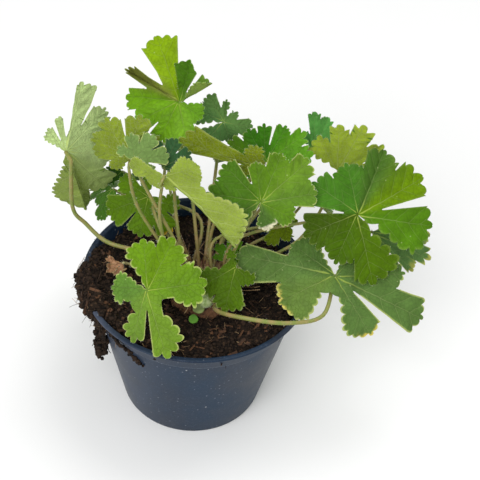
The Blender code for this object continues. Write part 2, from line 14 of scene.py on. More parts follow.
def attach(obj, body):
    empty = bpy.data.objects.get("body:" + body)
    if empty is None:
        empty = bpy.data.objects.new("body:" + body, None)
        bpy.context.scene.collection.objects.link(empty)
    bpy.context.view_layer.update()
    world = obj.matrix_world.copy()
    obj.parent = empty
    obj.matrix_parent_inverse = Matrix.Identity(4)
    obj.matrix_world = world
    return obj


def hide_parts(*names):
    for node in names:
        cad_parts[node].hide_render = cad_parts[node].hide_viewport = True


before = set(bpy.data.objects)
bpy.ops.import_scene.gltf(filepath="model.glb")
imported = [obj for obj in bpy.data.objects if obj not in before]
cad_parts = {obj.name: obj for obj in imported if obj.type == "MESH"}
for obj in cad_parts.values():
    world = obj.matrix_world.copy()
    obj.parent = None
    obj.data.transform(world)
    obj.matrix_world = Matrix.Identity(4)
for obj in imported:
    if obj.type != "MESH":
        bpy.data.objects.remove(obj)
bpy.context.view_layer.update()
MM = 0.001


# Camera, floor and light
# The camera looks from 44 degrees above the near side, rolled a little, with a long lens.
# The floor is a plain pale sheet and the light comes from a white sky and two soft panels.
CAMERA_HEIGHT = math.radians(44)
CAMERA_ROLL = math.radians(4.8)
RIM_DISTANCE = 0.685
LENS = 90
FOCAL_PX = 1200
RIM_CENTRE = Vector((0, 0, 0.092))
RIM_CENTRE_PX = (197, 274)
FRAME_MIDDLE_PX = 240

forward = Vector((0, math.cos(CAMERA_HEIGHT), -math.sin(CAMERA_HEIGHT)))
level = Vector((1, 0, 0))
upward = level.cross(forward)
camera_x = level * math.cos(CAMERA_ROLL) + upward * math.sin(CAMERA_ROLL)
camera_y = upward * math.cos(CAMERA_ROLL) - level * math.sin(CAMERA_ROLL)
offset_x = (RIM_CENTRE_PX[0] - FRAME_MIDDLE_PX) / FOCAL_PX * RIM_DISTANCE
offset_y = (FRAME_MIDDLE_PX - RIM_CENTRE_PX[1]) / FOCAL_PX * RIM_DISTANCE
camera_at = RIM_CENTRE - forward * RIM_DISTANCE - camera_x * offset_x - camera_y * offset_y
camera = bpy.data.objects.new("camera", bpy.data.cameras.new("camera"))
bpy.context.scene.collection.objects.link(camera)
camera.matrix_world = Matrix.Translation(camera_at) @ Matrix(
    (camera_x, camera_y, -forward)).transposed().to_4x4()
camera.data.lens = LENS
camera.data.sensor_width = 36
bpy.context.scene.camera = camera


def paint(red, green, blue):
    """A colour as seen on a screen, 0 to 255, as the linear colour that a shader takes."""
    part = [c / 255 for c in (red, green, blue)]
    return tuple(c / 12.92 if c < 0.04 else ((c + 0.055) / 1.055) ** 2.4 for c in part)


def new_material(name, colour, roughness, **sockets):
    mat = bpy.data.materials.new(name)
    mat.use_nodes = True
    shader = mat.node_tree.nodes["Principled BSDF"]
    shader.inputs["Base Color"].default_value = (*colour, 1)
    shader.inputs["Roughness"].default_value = roughness
    for socket, value in sockets.items():
        shader.inputs[socket.replace("_", " ")].default_value = value
    return mat


def add(tree, kind, settings=None, **sockets):
    """Place a shader node. A socket takes a number, a colour or another node's output."""
    made = tree.nodes.new("ShaderNode" + kind)
    for key, value in (settings or {}).items():
        setattr(made, key, value)
    for key, value in sockets.items():
        number = key.lstrip("s")
        socket = made.inputs[int(number)] if number.isdigit() else made.inputs[key.replace("_", " ")]
        if isinstance(value, bpy.types.NodeSocket):
            tree.links.new(value, socket)
        elif isinstance(value, tuple) and len(value) == 3 and socket.type == "RGBA":
            socket.default_value = (*value, 1)
        else:
            socket.default_value = value
    return made


def maths(tree, operation, first, second=0.0, clamp=False):
    return add(tree, "Math", dict(operation=operation, use_clamp=clamp), s0=first, s1=second).outputs[0]


def times(tree, first, second):
    return maths(tree, "MULTIPLY", first, second)


def mixed(tree, factor, first, second, kind="MIX"):
    made = add(tree, "Mix", dict(data_type="RGBA", blend_type=kind), s0=factor, s6=first, s7=second)
    return made.outputs[2]


def ramp(tree, value, low, high):
    """0 below low, 1 above high, and a smooth step between, also with low above high."""
    made = add(tree, "MapRange", dict(interpolation_type="SMOOTHSTEP"), s0=value, s1=low, s2=high)
    return made.outputs[0]


def relief(tree, strength, distance, height):
    return add(tree, "Bump", Strength=strength, Distance=distance, Height=height).outputs[0]


def wear(tree, **sockets):
    """Join outputs to sockets of the material's main shader."""
    for socket, output in sockets.items():
        tree.links.new(output, tree.nodes["Principled BSDF"].inputs[socket.replace("_", " ")])


def new_finish(name, colour, roughness, **sockets):
    """A material with its node tree and the coordinates of the object that wears it."""
    mat = new_material(name, colour, roughness, **sockets)
    return mat, mat.node_tree, add(mat.node_tree, "TexCoord").outputs["Object"]


def finish_mesh(name, bm, mats, sharp=None, body="root"):
    """Turn a bmesh in millimetres into a smooth-shaded object that rides on the body."""
    bmesh.ops.scale(bm, vec=(MM, MM, MM), verts=bm.verts)
    for face in bm.faces:
        face.smooth = True
    mesh = bpy.data.meshes.new(name)
    bm.to_mesh(mesh)
    bm.free()
    if sharp:
        mesh.set_sharp_from_angle(angle=math.radians(sharp))
    for mat in mats:
        mesh.materials.append(mat)
    ob = bpy.data.objects.new(name, mesh)
    bpy.context.scene.collection.objects.link(ob)
    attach(ob, body)
    return ob


FLOOR_SIZE = 3.0
floor_bm = bmesh.new()
bmesh.ops.create_grid(floor_bm, x_segments=2, y_segments=2, size=FLOOR_SIZE / 2)
floor_mesh = bpy.data.meshes.new("floor")
floor_bm.to_mesh(floor_mesh)
floor_bm.free()
floor = bpy.data.objects.new("floor", floor_mesh)
bpy.context.scene.collection.objects.link(floor)
floor_mat, tree, place = new_finish("floor", (0.86, 0.86, 0.85), 0.9)
spots = add(tree, "TexNoise", Vector=place, Scale=6.0).outputs[0]
wear(tree, Base_Color=mixed(tree, spots, (0.84, 0.84, 0.83), (0.88, 0.88, 0.87)))
floor_mesh.materials.append(floor_mat)

world = bpy.data.worlds.new("studio")
world.use_nodes = True
world.node_tree.nodes["Background"].inputs["Color"].default_value = (0.98, 0.99, 1.0, 1)
world.node_tree.nodes["Background"].inputs["Strength"].default_value = 0.62
bpy.context.scene.world = world
bpy.context.scene.view_settings.view_transform = "Standard"

PANELS = [("key panel", (-0.35, -0.95, 1.15), 0.9, 15.0), ("top panel", (0.3, 0.4, 1.4), 0.8, 7.0)]
for panel_name, place, size, watts in PANELS:
    panel = bpy.data.objects.new(panel_name, bpy.data.lights.new(panel_name, "AREA"))
    panel.data.size = size
    panel.data.energy = watts
    panel.location = place
    panel.rotation_euler = (RIM_CENTRE - Vector(place)).to_track_quat("-Z", "Y").to_euler()
    bpy.context.scene.collection.objects.link(panel)


# Pot
# A low nursery pot of blue-grey moulded plastic, with a turned-out rim, a step where pots
# stack and six drain holes in a ring in its base. It is turned, with every corner rounded.
POT_TURNS = 144
POT_PROFILE = [
    (0, 0, 0), (25, 0, 0.6), (26, 2.6, 0.6), (33, 2.6, 0.6), (34, 0, 0.5), (42, 0, 1.2),
    (58.2, 78.3, 0.35), (59.0, 79.0, 0.35), (62.4, 90.2, 0.5), (65.2, 90.4, 0.75), (65.2, 92.0, 0.75),
    (62.3, 92.0, 0.7), (58.1, 79.6, 0.5), (57.0, 78.8, 0.5), (41.6, 2.2, 0.8), (34.9, 1.7, 0.5),
    (33.6, 4.0, 0.5), (25.4, 4.0, 0.5), (24.3, 1.6, 0.5), (0, 1.6, 0)]
STEP_Z = 78.7
DRAIN_HOLES = 6
DRAIN_R = 3.2
DRAIN_RING = 29.5
DRAIN_DEPTH = 6
DRAIN_Z = 3.3


def polar(out, turn, z):
    return Vector((out * math.cos(turn), out * math.sin(turn), z))


def rounded(corners, steps=4):
    """The corners (x, z, radius) joined by straight runs, each corner turned into an arc."""
    points = []
    for k, (x, z, radius) in enumerate(corners):
        here = Vector((x, z))
        if radius == 0:
            points.append(here)
            continue
        before = (Vector(corners[k - 1][:2]) - here).normalized()
        after = (Vector(corners[(k + 1) % len(corners)][:2]) - here).normalized()
        for n in range(steps + 1):
            t = n / steps
            points.append(here + before * radius * (1 - t) ** 2 + after * radius * t ** 2)
    return points


def turned(profile, turns):
    bm = bmesh.new()
    verts = [bm.verts.new((p.x, 0, p.y)) for p in profile]
    edges = [bm.edges.new(pair) for pair in zip(verts, verts[1:])]
    bmesh.ops.spin(bm, geom=verts + edges, axis=(0, 0, 1), cent=(0, 0, 0), dvec=(0, 0, 0),
                   angle=math.tau, steps=turns, use_merge=True, use_duplicate=False)
    bmesh.ops.remove_doubles(bm, verts=bm.verts, dist=0.01)
    bmesh.ops.recalc_face_normals(bm, faces=bm.faces)
    return bm


def specks(tree, vector, scale, size, share):
    """A mask of small round specks: size is their radius in cells, share how many there are."""
    cells = add(tree, "TexVoronoi", dict(feature="F1"), Vector=vector, Scale=scale)
    near = ramp(tree, cells.outputs["Distance"], size, size * 0.6)
    chosen = ramp(tree, add(tree, "SeparateColor", s0=cells.outputs["Color"]).outputs[0],
                  1 - share, 1 - share + 0.02)
    return times(tree, near, chosen)


pot_mat, tree, place = new_finish("pot plastic", paint(40, 52, 70), 0.42, Specular_IOR_Level=0.22)
spread = add(tree, "SeparateXYZ", s0=place)
broad = add(tree, "TexNoise", Vector=place, Scale=28.0, Detail=5.0, Roughness=0.6).outputs[0]
fine = add(tree, "TexNoise", Vector=place, Scale=700.0, Detail=3.0, Roughness=0.7).outputs[0]
colour = mixed(tree, ramp(tree, broad, 0.35, 0.7), paint(13, 32, 52), paint(22, 46, 68))
# The left flank is painted paler in broad blotches as painted light, and the right flank darker in
# blotches as painted shade.
on_left = ramp(tree, spread.outputs["X"], 0.0, -0.055)
left_painted_light = times(tree, on_left, ramp(tree, broad, 0.3, 0.75))
colour = mixed(tree, times(tree, left_painted_light, 0.55), colour, paint(96, 98, 112))
on_right = ramp(tree, spread.outputs["X"], 0.015, 0.055)
right_painted_shade = times(tree, on_right, ramp(tree, broad, 0.7, 0.3))
colour = mixed(tree, times(tree, right_painted_shade, 0.5), colour, paint(36, 38, 46))
dust = times(tree, specks(tree, place, 430.0, 0.24, 0.2), 0.4)
colour = mixed(tree, dust, colour, paint(150, 155, 165))
grit = times(tree, specks(tree, place, 170.0, 0.11, 0.12), 0.8)
colour = mixed(tree, grit, colour, paint(176, 178, 182))
colour = mixed(tree, times(tree, ramp(tree, fine, 0.5, 0.8), 0.5), colour, paint(66, 80, 100))
# A pale line along the step where pots stack, broken up by fine noise, is a painted highlight.
from_step = maths(tree, "ABSOLUTE", maths(tree, "SUBTRACT", spread.outputs["Z"], STEP_Z * MM))
step_painted_highlight = times(tree, ramp(tree, from_step, 0.0009, 0.0003), ramp(tree, fine, 0.25, 0.6))
colour = mixed(tree, times(tree, step_painted_highlight, 0.4), colour, paint(134, 146, 162))
gloss = add(tree, "MapRange", s0=broad, s1=0.3, s2=0.7, s3=0.36, s4=0.55).outputs[0]
wear(tree, Base_Color=colour, Roughness=gloss, Normal=relief(tree, 0.25, 0.0002, fine))

pot_bm = turned(rounded(POT_PROFILE), POT_TURNS)
hole_bm = bmesh.new()
for k in range(DRAIN_HOLES):
    middle = polar(DRAIN_RING, math.tau * (k + 0.5) / DRAIN_HOLES, DRAIN_Z)
    bmesh.ops.create_cone(hole_bm, cap_ends=True, segments=24, radius1=DRAIN_R, radius2=DRAIN_R,
                          depth=DRAIN_DEPTH, matrix=Matrix.Translation(middle))
pot = finish_mesh("pot_shell", pot_bm, [pot_mat])
holes = finish_mesh("drain_holes", hole_bm, [])
drill = pot.modifiers.new("Drain holes", "BOOLEAN")
drill.object = holes
drill.solver = "EXACT"
bpy.context.view_layer.update()
drilled = bpy.data.meshes.new_from_object(pot.evaluated_get(bpy.context.evaluated_depsgraph_get()))
pot.modifiers.clear()
pot.data = drilled
pot.data.set_sharp_from_angle(angle=math.radians(35))
bpy.data.objects.remove(holes)
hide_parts("pot")


# Peat
# Dark fibrous peat with bark in it, heaped at the left and fallen over the rim there. The lumps
# are raised on a fine copy of the solid, and crumbs, fibres and chips lie on what shows of it.
VOXEL = 1.15
LUMP = 1.3
CRUMBS = 3400
CLODS = 150
CHIPS = 420
SPILL_FROM, SPILL_TO = 150, 240
RIM_R = 60.5
WALL_FOOT_R, WALL_FLARE = 42.6, 0.2
COLLAR_Z, COLLAR_R, COLLAR_FLARE = 79, 58.6, 0.31
OVER_RIM_Z = 92.3
OUTSIDE_WALL, INSIDE_WALL = 0.6, 1.0
CROWN_AT = Vector((4.0, -6.0, 0))
CROWN_R = 20.0
DARK_FIBRES, DARK_LONGEST, DARK_R = 620, 13, 0.22
STRAWS, STRAW_LONGEST, STRAW_R = 120, 11, 0.2
FIBRE_SHORTEST = 3
STRAND_TIP = 0.4
PEAT_SEED = 11

peat_mat, tree, place = new_finish("peat", paint(40, 31, 26), 0.92, Specular_IOR_Level=0.15)
clods = add(tree, "TexNoise", Vector=place, Scale=260.0, Detail=6.0, Roughness=0.7).outputs[0]
grains = add(tree, "TexVoronoi", dict(feature="F1"), Vector=place, Scale=900.0)
colour = mixed(tree, ramp(tree, clods, 0.35, 0.7), paint(12, 9, 8), paint(48, 37, 28))
tan = ramp(tree, add(tree, "SeparateColor", s0=grains.outputs["Color"]).outputs[0], 0.9, 0.93)
colour = mixed(tree, times(tree, tan, 0.4), colour, paint(92, 70, 50))
height = maths(tree, "ADD", clods, times(tree, grains.outputs["Distance"], 0.5))
wear(tree, Base_Color=colour, Normal=relief(tree, 0.9, 0.0012, height))


def fine_copy(node, voxel):
    """The CAD node as one even mesh with the given grid, in millimetres."""
    bm = bmesh.new()
    bm.from_mesh(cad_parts[node].data)
    bmesh.ops.remove_doubles(bm, verts=bm.verts, dist=0.00001)
    mesh = bpy.data.meshes.new(node)
    bm.to_mesh(mesh)
    ob = bpy.data.objects.new(node + "_copy", mesh)
    bpy.context.scene.collection.objects.link(ob)
    grid = ob.modifiers.new("Even mesh", "REMESH")
    grid.mode = "VOXEL"
    grid.voxel_size = voxel * MM
    bpy.context.view_layer.update()
    even = bpy.data.meshes.new_from_object(ob.evaluated_get(bpy.context.evaluated_depsgraph_get()))
    bpy.data.objects.remove(ob)
    bm.clear()
    bm.from_mesh(even)
    bmesh.ops.scale(bm, vec=(1 / MM, 1 / MM, 1 / MM), verts=bm.verts)
    bm.normal_update()
    return bm


def shows(point):
    """True where the peat is open to view: its top inside the rim, or the spill outside it."""
    across = math.hypot(point.x, point.y)
    if point.z < COLLAR_Z:
        return across > WALL_FOOT_R + WALL_FLARE * point.z + OUTSIDE_WALL
    wall = COLLAR_R + COLLAR_FLARE * (point.z - COLLAR_Z)
    inside = point.z > COLLAR_Z and across < wall - INSIDE_WALL
    return across > wall + OUTSIDE_WALL or inside or point.z > OVER_RIM_Z


peat_bm = fine_copy("soil", VOXEL)
for v in peat_bm.verts:
    if shows(v.co):
        coarse = noise.noise(v.co * 0.16) * LUMP
        small = noise.noise(v.co * 0.42 + Vector((9, 0, 0))) * LUMP * 0.7
        tiny = noise.noise(v.co * 1.1) * LUMP * 0.35
        v.co += v.normal * (coarse + small + tiny)
peat_bm.normal_update()
peat_faces = []
for face in peat_bm.faces:
    centre = face.calc_center_median()
    if shows(centre) and math.hypot(centre.x - CROWN_AT.x, centre.y - CROWN_AT.y) > CROWN_R:
        peat_faces.append((centre, face.normal.copy()))
peat = finish_mesh("peat_body", peat_bm, [peat_mat])
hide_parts("soil")

crumb_mat, tree, place = new_finish("peat crumbs", paint(50, 38, 31), 0.9, Specular_IOR_Level=0.15)
each = add(tree, "TexNoise", Vector=place, Scale=420.0, Detail=2.0).outputs[0]
wear(tree, Base_Color=mixed(tree, ramp(tree, each, 0.3, 0.62), paint(9, 7, 6), paint(50, 38, 29)))


def shape_mesh(make, **options):
    """A small mesh from a bmesh operator, to be placed many times."""
    bm = bmesh.new()
    make(bm, **options)
    mesh = bpy.data.meshes.new("small shape")
    bm.to_mesh(mesh)
    bm.free()
    return mesh


def put(bm, shape, place, mat_index=0):
    """Add the small shape to the bmesh, at its place."""
    placed = shape.copy()
    placed.transform(place)
    if mat_index:
        placed.polygons.foreach_set("material_index", [mat_index] * len(placed.polygons))
    bm.from_mesh(placed)
    bpy.data.meshes.remove(placed)


def in_spill(point):
    return SPILL_FROM < math.degrees(math.atan2(point.y, point.x)) % 360 < SPILL_TO


def standing(heading):
    """A turn that carries the z axis on to a heading."""
    return heading.to_track_quat("Z", "Y").to_matrix().to_4x4()


CRUMB = shape_mesh(bmesh.ops.create_icosphere, subdivisions=1, radius=1)
rng = random.Random(PEAT_SEED)
# Without a seed, noise_vector starts from the clock and each run differs.
noise.seed_set(PEAT_SEED)
crumbs_bm = bmesh.new()
for _ in range(CRUMBS):
    centre, out = rng.choice(peat_faces)
    size = 0.45 + 1.0 * rng.random() ** 2.5
    squeeze = Matrix.Diagonal((1.3, rng.uniform(0.6, 1), rng.uniform(0.5, 0.9), 1))
    turn = Matrix.Rotation(rng.uniform(0, math.tau), 4, Vector((rng.random(), rng.random(), 0.3)))
    at = centre + out * size * 0.35 + Vector((rng.uniform(-0.6, 0.6), rng.uniform(-0.6, 0.6), 0))
    put(crumbs_bm, CRUMB, Matrix.Translation(at) @ turn @ squeeze @ Matrix.Scale(size, 4))
spill_faces = [(c, n) for c, n in peat_faces if c.xy.length > RIM_R - 3 and in_spill(c)]
for _ in range(CLODS):
    centre, out = rng.choice(spill_faces)
    squeeze = Matrix.Diagonal((rng.uniform(0.8, 1.4), rng.uniform(0.6, 1), rng.uniform(0.6, 1), 1))
    put(crumbs_bm, CRUMB, Matrix.Translation(centre) @ squeeze @ Matrix.Scale(rng.uniform(1.1, 2.6), 4))
for v in crumbs_bm.verts:
    v.co += noise.noise_vector(v.co * 1.7) * 0.3 + noise.noise_vector(v.co * 0.7) * 0.4
crumbs = finish_mesh("peat_crumbs", crumbs_bm, [crumb_mat])

bark_mat, tree, place = new_finish("bark chips", paint(88, 62, 44), 0.8, Specular_IOR_Level=0.3)
grain = add(tree, "TexNoise", Vector=place, Scale=900.0, Detail=4.0).outputs[0]
piece = add(tree, "TexNoise", Vector=place, Scale=110.0).outputs[0]
colour = mixed(tree, ramp(tree, piece, 0.35, 0.65), paint(30, 21, 16), paint(98, 66, 42))
colour = mixed(tree, ramp(tree, grain, 0.4, 0.7), colour, paint(66, 47, 35))
wear(tree, Base_Color=colour, Normal=relief(tree, 0.6, 0.0004, grain))

CHIP = shape_mesh(bmesh.ops.create_cube, size=1)
bark_bm = bmesh.new()
for _ in range(CHIPS):
    centre, out = rng.choice(peat_faces)
    length = 1.6 + 6.5 * rng.random() ** 2
    lie = Matrix.Rotation(rng.uniform(0, math.tau), 4, "Z") @ Matrix.Rotation(
        rng.uniform(-0.5, 0.5), 4, "Y") @ Matrix.Rotation(rng.uniform(-0.6, 0.6), 4, "X")
    shape = Matrix.Diagonal((length, rng.uniform(0.8, 2.1), rng.uniform(0.35, 0.8), 1))
    put(bark_bm, CHIP, Matrix.Translation(centre + out * 0.35) @ standing(out) @ lie @ shape)
for v in bark_bm.verts:
    v.co += Vector((rng.uniform(-0.3, 0.3), rng.uniform(-0.3, 0.3), rng.uniform(-0.2, 0.2)))
bark = finish_mesh("bark_chips", bark_bm, [bark_mat], sharp=30)


def swept(lines, depth, resolution, taper):
    """One mesh of strands along lines of points. taper is their first and last radius."""
    curve = bpy.data.curves.new("strand", "CURVE")
    curve.dimensions = "3D"
    curve.bevel_depth = depth
    curve.bevel_resolution = resolution
    curve.use_fill_caps = True
    for points in lines:
        spline = curve.splines.new("POLY")
        spline.points.add(len(points) - 1)
        for n, (p, q) in enumerate(zip(points, spline.points)):
            q.co = (*p, 1)
            q.radius = taper[0] + (taper[1] - taper[0]) * n / (len(points) - 1)
    shape = bpy.data.objects.new("strand", curve)
    bpy.context.scene.collection.objects.link(shape)
    bpy.context.view_layer.update()
    mesh = bpy.data.meshes.new_from_object(shape)
    bpy.data.objects.remove(shape)
    return mesh


def strands(name, lines, thickness, mat):
    """Thin tapering strands along the given lines of points, as one piece."""
    in_metres = [[p * MM for p in points] for points in lines]
    mesh = swept(in_metres, MM, 0, (thickness, thickness * STRAND_TIP))
    mesh.name = name
    mesh.materials.clear()
    mesh.materials.append(mat)
    ob = bpy.data.objects.new(name, mesh)
    bpy.context.scene.collection.objects.link(ob)
    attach(ob, "root")
    return ob


def any_way(rng):
    return Vector([rng.uniform(-1, 1) for _ in range(3)])


def wander(start, heading, length, steps, bend, rng):
    """A line of points that sets out along a heading and drifts."""
    points = [start.copy()]
    for _ in range(steps):
        heading = (heading + any_way(rng) * bend).normalized()
        points.append(points[-1] + heading * (length / steps))
    return points


def over_wall(p):
    """True where a strand would hang over the clean part of the rim."""
    return p.xy.length > RIM_R and not in_spill(p)


def lying_fibres(count, longest, rng):
    lines = []
    for _ in range(count):
        centre, out = rng.choice(peat_faces)
        lift = out.cross(any_way(rng)).normalized() + out * rng.uniform(-0.15, 0.35)
        length = FIBRE_SHORTEST + (longest - FIBRE_SHORTEST) * rng.random() ** 2
        lines.append(wander(centre + out * 0.5, lift.normalized(), length, 5, 0.28, rng))
    return [line for line in lines if not any(over_wall(p) for p in line)]


def strand_material(name, dark, light):
    mat, tree, place = new_finish(name, light, 0.8, Specular_IOR_Level=0.3)
    shift = add(tree, "TexNoise", Vector=place, Scale=180.0, Detail=3.0).outputs[0]
    wear(tree, Base_Color=mixed(tree, ramp(tree, shift, 0.35, 0.65), dark, light))
    return mat


dark_fibre_mat = strand_material("dark fibres", paint(10, 8, 7), paint(58, 42, 28))
straw_mat = strand_material("straw", paint(110, 84, 58), paint(178, 150, 112))
strands("dark_fibres", lying_fibres(DARK_FIBRES, DARK_LONGEST, rng), DARK_R, dark_fibre_mat)
strands("straw", lying_fibres(STRAWS, STRAW_LONGEST, rng), STRAW_R, straw_mat)


# Root clump and trail
# Where the peat fell over the rim, fine roots hold a lump of it that hangs beside the pot, and
# a trail of crumbs lies down the outside of the wall.
CLUMP_TOP = Vector((-52.0, -26.0, 67.0))
CLUMP_DROP = 26.0
CLUMP_ROOTS, CLUMP_ROOT_R = 20, 0.45
CLUMP_CRUMBS = 420
TRAIL_FROM, TRAIL_TO = (222, 88.0), (243, 68.0)
TRAIL_CRUMBS = 90
TRAIL_WALL_R, TRAIL_FLARE, TRAIL_COLLAR_OUT = 43.0, 0.2015, 1.6

clump_lines = []
for _ in range(CLUMP_ROOTS):
    start = CLUMP_TOP + Vector((rng.gauss(0, 2.2), rng.gauss(0, 1.6), rng.uniform(-8, 6)))
    length = rng.uniform(6, CLUMP_DROP - 10)
    clump_lines.append(wander(start, Vector((-0.05, -0.05, -1)), length, 6, 0.3, rng))
strands("hanging_roots", clump_lines, CLUMP_ROOT_R, dark_fibre_mat)
clump_bm = bmesh.new()
for _ in range(CLUMP_CRUMBS):
    fall = rng.random()
    width = 3.2 - 1.4 * abs(fall - 0.6)
    at = CLUMP_TOP + Vector((rng.gauss(0, 0.5) * width, rng.gauss(0, 0.4) * width, 4 - CLUMP_DROP * fall))
    put(clump_bm, CRUMB, Matrix.Translation(at) @ Matrix.Scale(rng.uniform(0.6, 1.8), 4))
for _ in range(TRAIL_CRUMBS):
    t = rng.random()
    turn = math.radians(TRAIL_FROM[0] + (TRAIL_TO[0] - TRAIL_FROM[0]) * t + rng.gauss(0, 1.6))
    z = TRAIL_FROM[1] + (TRAIL_TO[1] - TRAIL_FROM[1]) * t + rng.gauss(0, 0.9)
    out = TRAIL_WALL_R + TRAIL_FLARE * z + (TRAIL_COLLAR_OUT if z > 78 else 0)
    put(clump_bm, CRUMB, Matrix.Translation(polar(out, turn, z)) @ Matrix.Scale(rng.uniform(0.5, 1.3), 4))
for v in clump_bm.verts:
    v.co += noise.noise_vector(v.co * 1.3) * 0.5
clump = finish_mesh("fallen_peat", clump_bm, [crumb_mat])


# Rootstock
# The woody crown that the stalks rise from: brown and knobbly, with a socket for each stalk,
# papery scales round the stalks, the stubs of last year's stalks and old straw between them.
CROWN_TOP = 90.5
CROWN_VOXEL = 0.75
KNOBBLY_ABOVE = 82
SCALES = 150
SCALE_LENGTH = (3, 8.5)
SCALE_WIDTH = 1.5
STUBS = 26
STUB_LENGTH = (4, 11)
STUB_R = (0.7, 1.4)
OLD_STRAWS, OLD_STRAW_R = 46, 0.38
OLD_STRAW_LENGTH = (10, 30)
CROWN_SEED = 23

crown_mat, tree, place = new_finish("rootstock", paint(84, 58, 42), 0.85, Specular_IOR_Level=0.3)
knobs = add(tree, "TexNoise", Vector=place, Scale=330.0, Detail=5.0, Roughness=0.65).outputs[0]
colour = mixed(tree, ramp(tree, knobs, 0.35, 0.62), paint(40, 28, 22), paint(120, 84, 58))
wear(tree, Base_Color=colour, Normal=relief(tree, 0.8, 0.0008, knobs))

crown_bm = fine_copy("crown", CROWN_VOXEL)
for v in crown_bm.verts:
    if v.co.z > KNOBBLY_ABOVE:
        v.co += v.normal * (noise.noise(v.co * 0.5) * 0.7 + noise.noise(v.co * 1.4) * 0.3)
crown = finish_mesh("rootstock", crown_bm, [crown_mat])
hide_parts("crown")

scale_mat = strand_material("papery scales", paint(92, 56, 38), paint(186, 150, 116))
rng = random.Random(CROWN_SEED)
scales_bm = bmesh.new()
for _ in range(SCALES):
    turn = rng.uniform(0, math.tau)
    out = (CROWN_R - 2.5) * math.sqrt(rng.random())
    foot = CROWN_AT + polar(out, turn, CROWN_TOP - 4.5 * (out / CROWN_R) ** 4)
    length = rng.uniform(*SCALE_LENGTH)
    lean = Matrix.Rotation(turn + rng.gauss(0, 0.5), 4, "Z") @ Matrix.Rotation(
        rng.uniform(0.1, 1.1), 4, "Y")
    made = bmesh.ops.create_grid(scales_bm, x_segments=2, y_segments=4, size=1)
    for v in made["verts"]:
        along = (v.co.y + 1) / 2
        width = SCALE_WIDTH * (1 - along ** 1.6) + 0.1
        arch = 0.14 * length * along ** 2 - 0.5 * v.co.x ** 2
        v.co = foot + lean @ Vector((arch, v.co.x * width, along * length))
bmesh.ops.solidify(scales_bm, geom=scales_bm.faces[:], thickness=0.16)
bmesh.ops.recalc_face_normals(scales_bm, faces=scales_bm.faces)
scales = finish_mesh("crown_scales", scales_bm, [scale_mat], sharp=60)

stubs_bm = bmesh.new()
for _ in range(STUBS):
    turn = rng.uniform(0, math.tau)
    out = (CROWN_R - 4) * math.sqrt(rng.random())
    foot = CROWN_AT + polar(out, turn, CROWN_TOP - 2.5)
    stray = Vector((rng.gauss(0, 0.3), rng.gauss(0, 0.3), 0))
    heading = (polar(0.5, turn, 1) + stray).normalized()
    length = rng.uniform(*STUB_LENGTH)
    radius = rng.uniform(*STUB_R)
    place = Matrix.Translation(foot + heading * length / 2) @ standing(heading)
    bmesh.ops.create_cone(stubs_bm, cap_ends=True, segments=10, radius1=radius, radius2=radius * 0.85,
                          depth=length, matrix=place)
for v in stubs_bm.verts:
    v.co += noise.noise_vector(v.co * 0.9) * 0.3
stubs = finish_mesh("old_stubs", stubs_bm, [scale_mat], sharp=50)

old_lines = []
for _ in range(OLD_STRAWS):
    turn = rng.uniform(0, math.tau)
    out = CROWN_R * math.sqrt(rng.random())
    foot = CROWN_AT + polar(out, turn, CROWN_TOP - 1)
    stray = Vector((rng.gauss(0, 0.6), rng.gauss(0, 0.6), rng.uniform(0.3, 1.6)))
    heading = polar(1, turn, 0) + stray
    old_lines.append(wander(foot, heading.normalized(), rng.uniform(*OLD_STRAW_LENGTH), 7, 0.2, rng))
strands("old_straw", old_lines, OLD_STRAW_R, straw_mat)


# Leaves
# Hairy palmate leaves on round stalks, each one cut into toothed lobes. A blade is a thin sheet
# of grids, one for each half lobe, laid along the lobe's bent midrib, with a stalk under its hub.

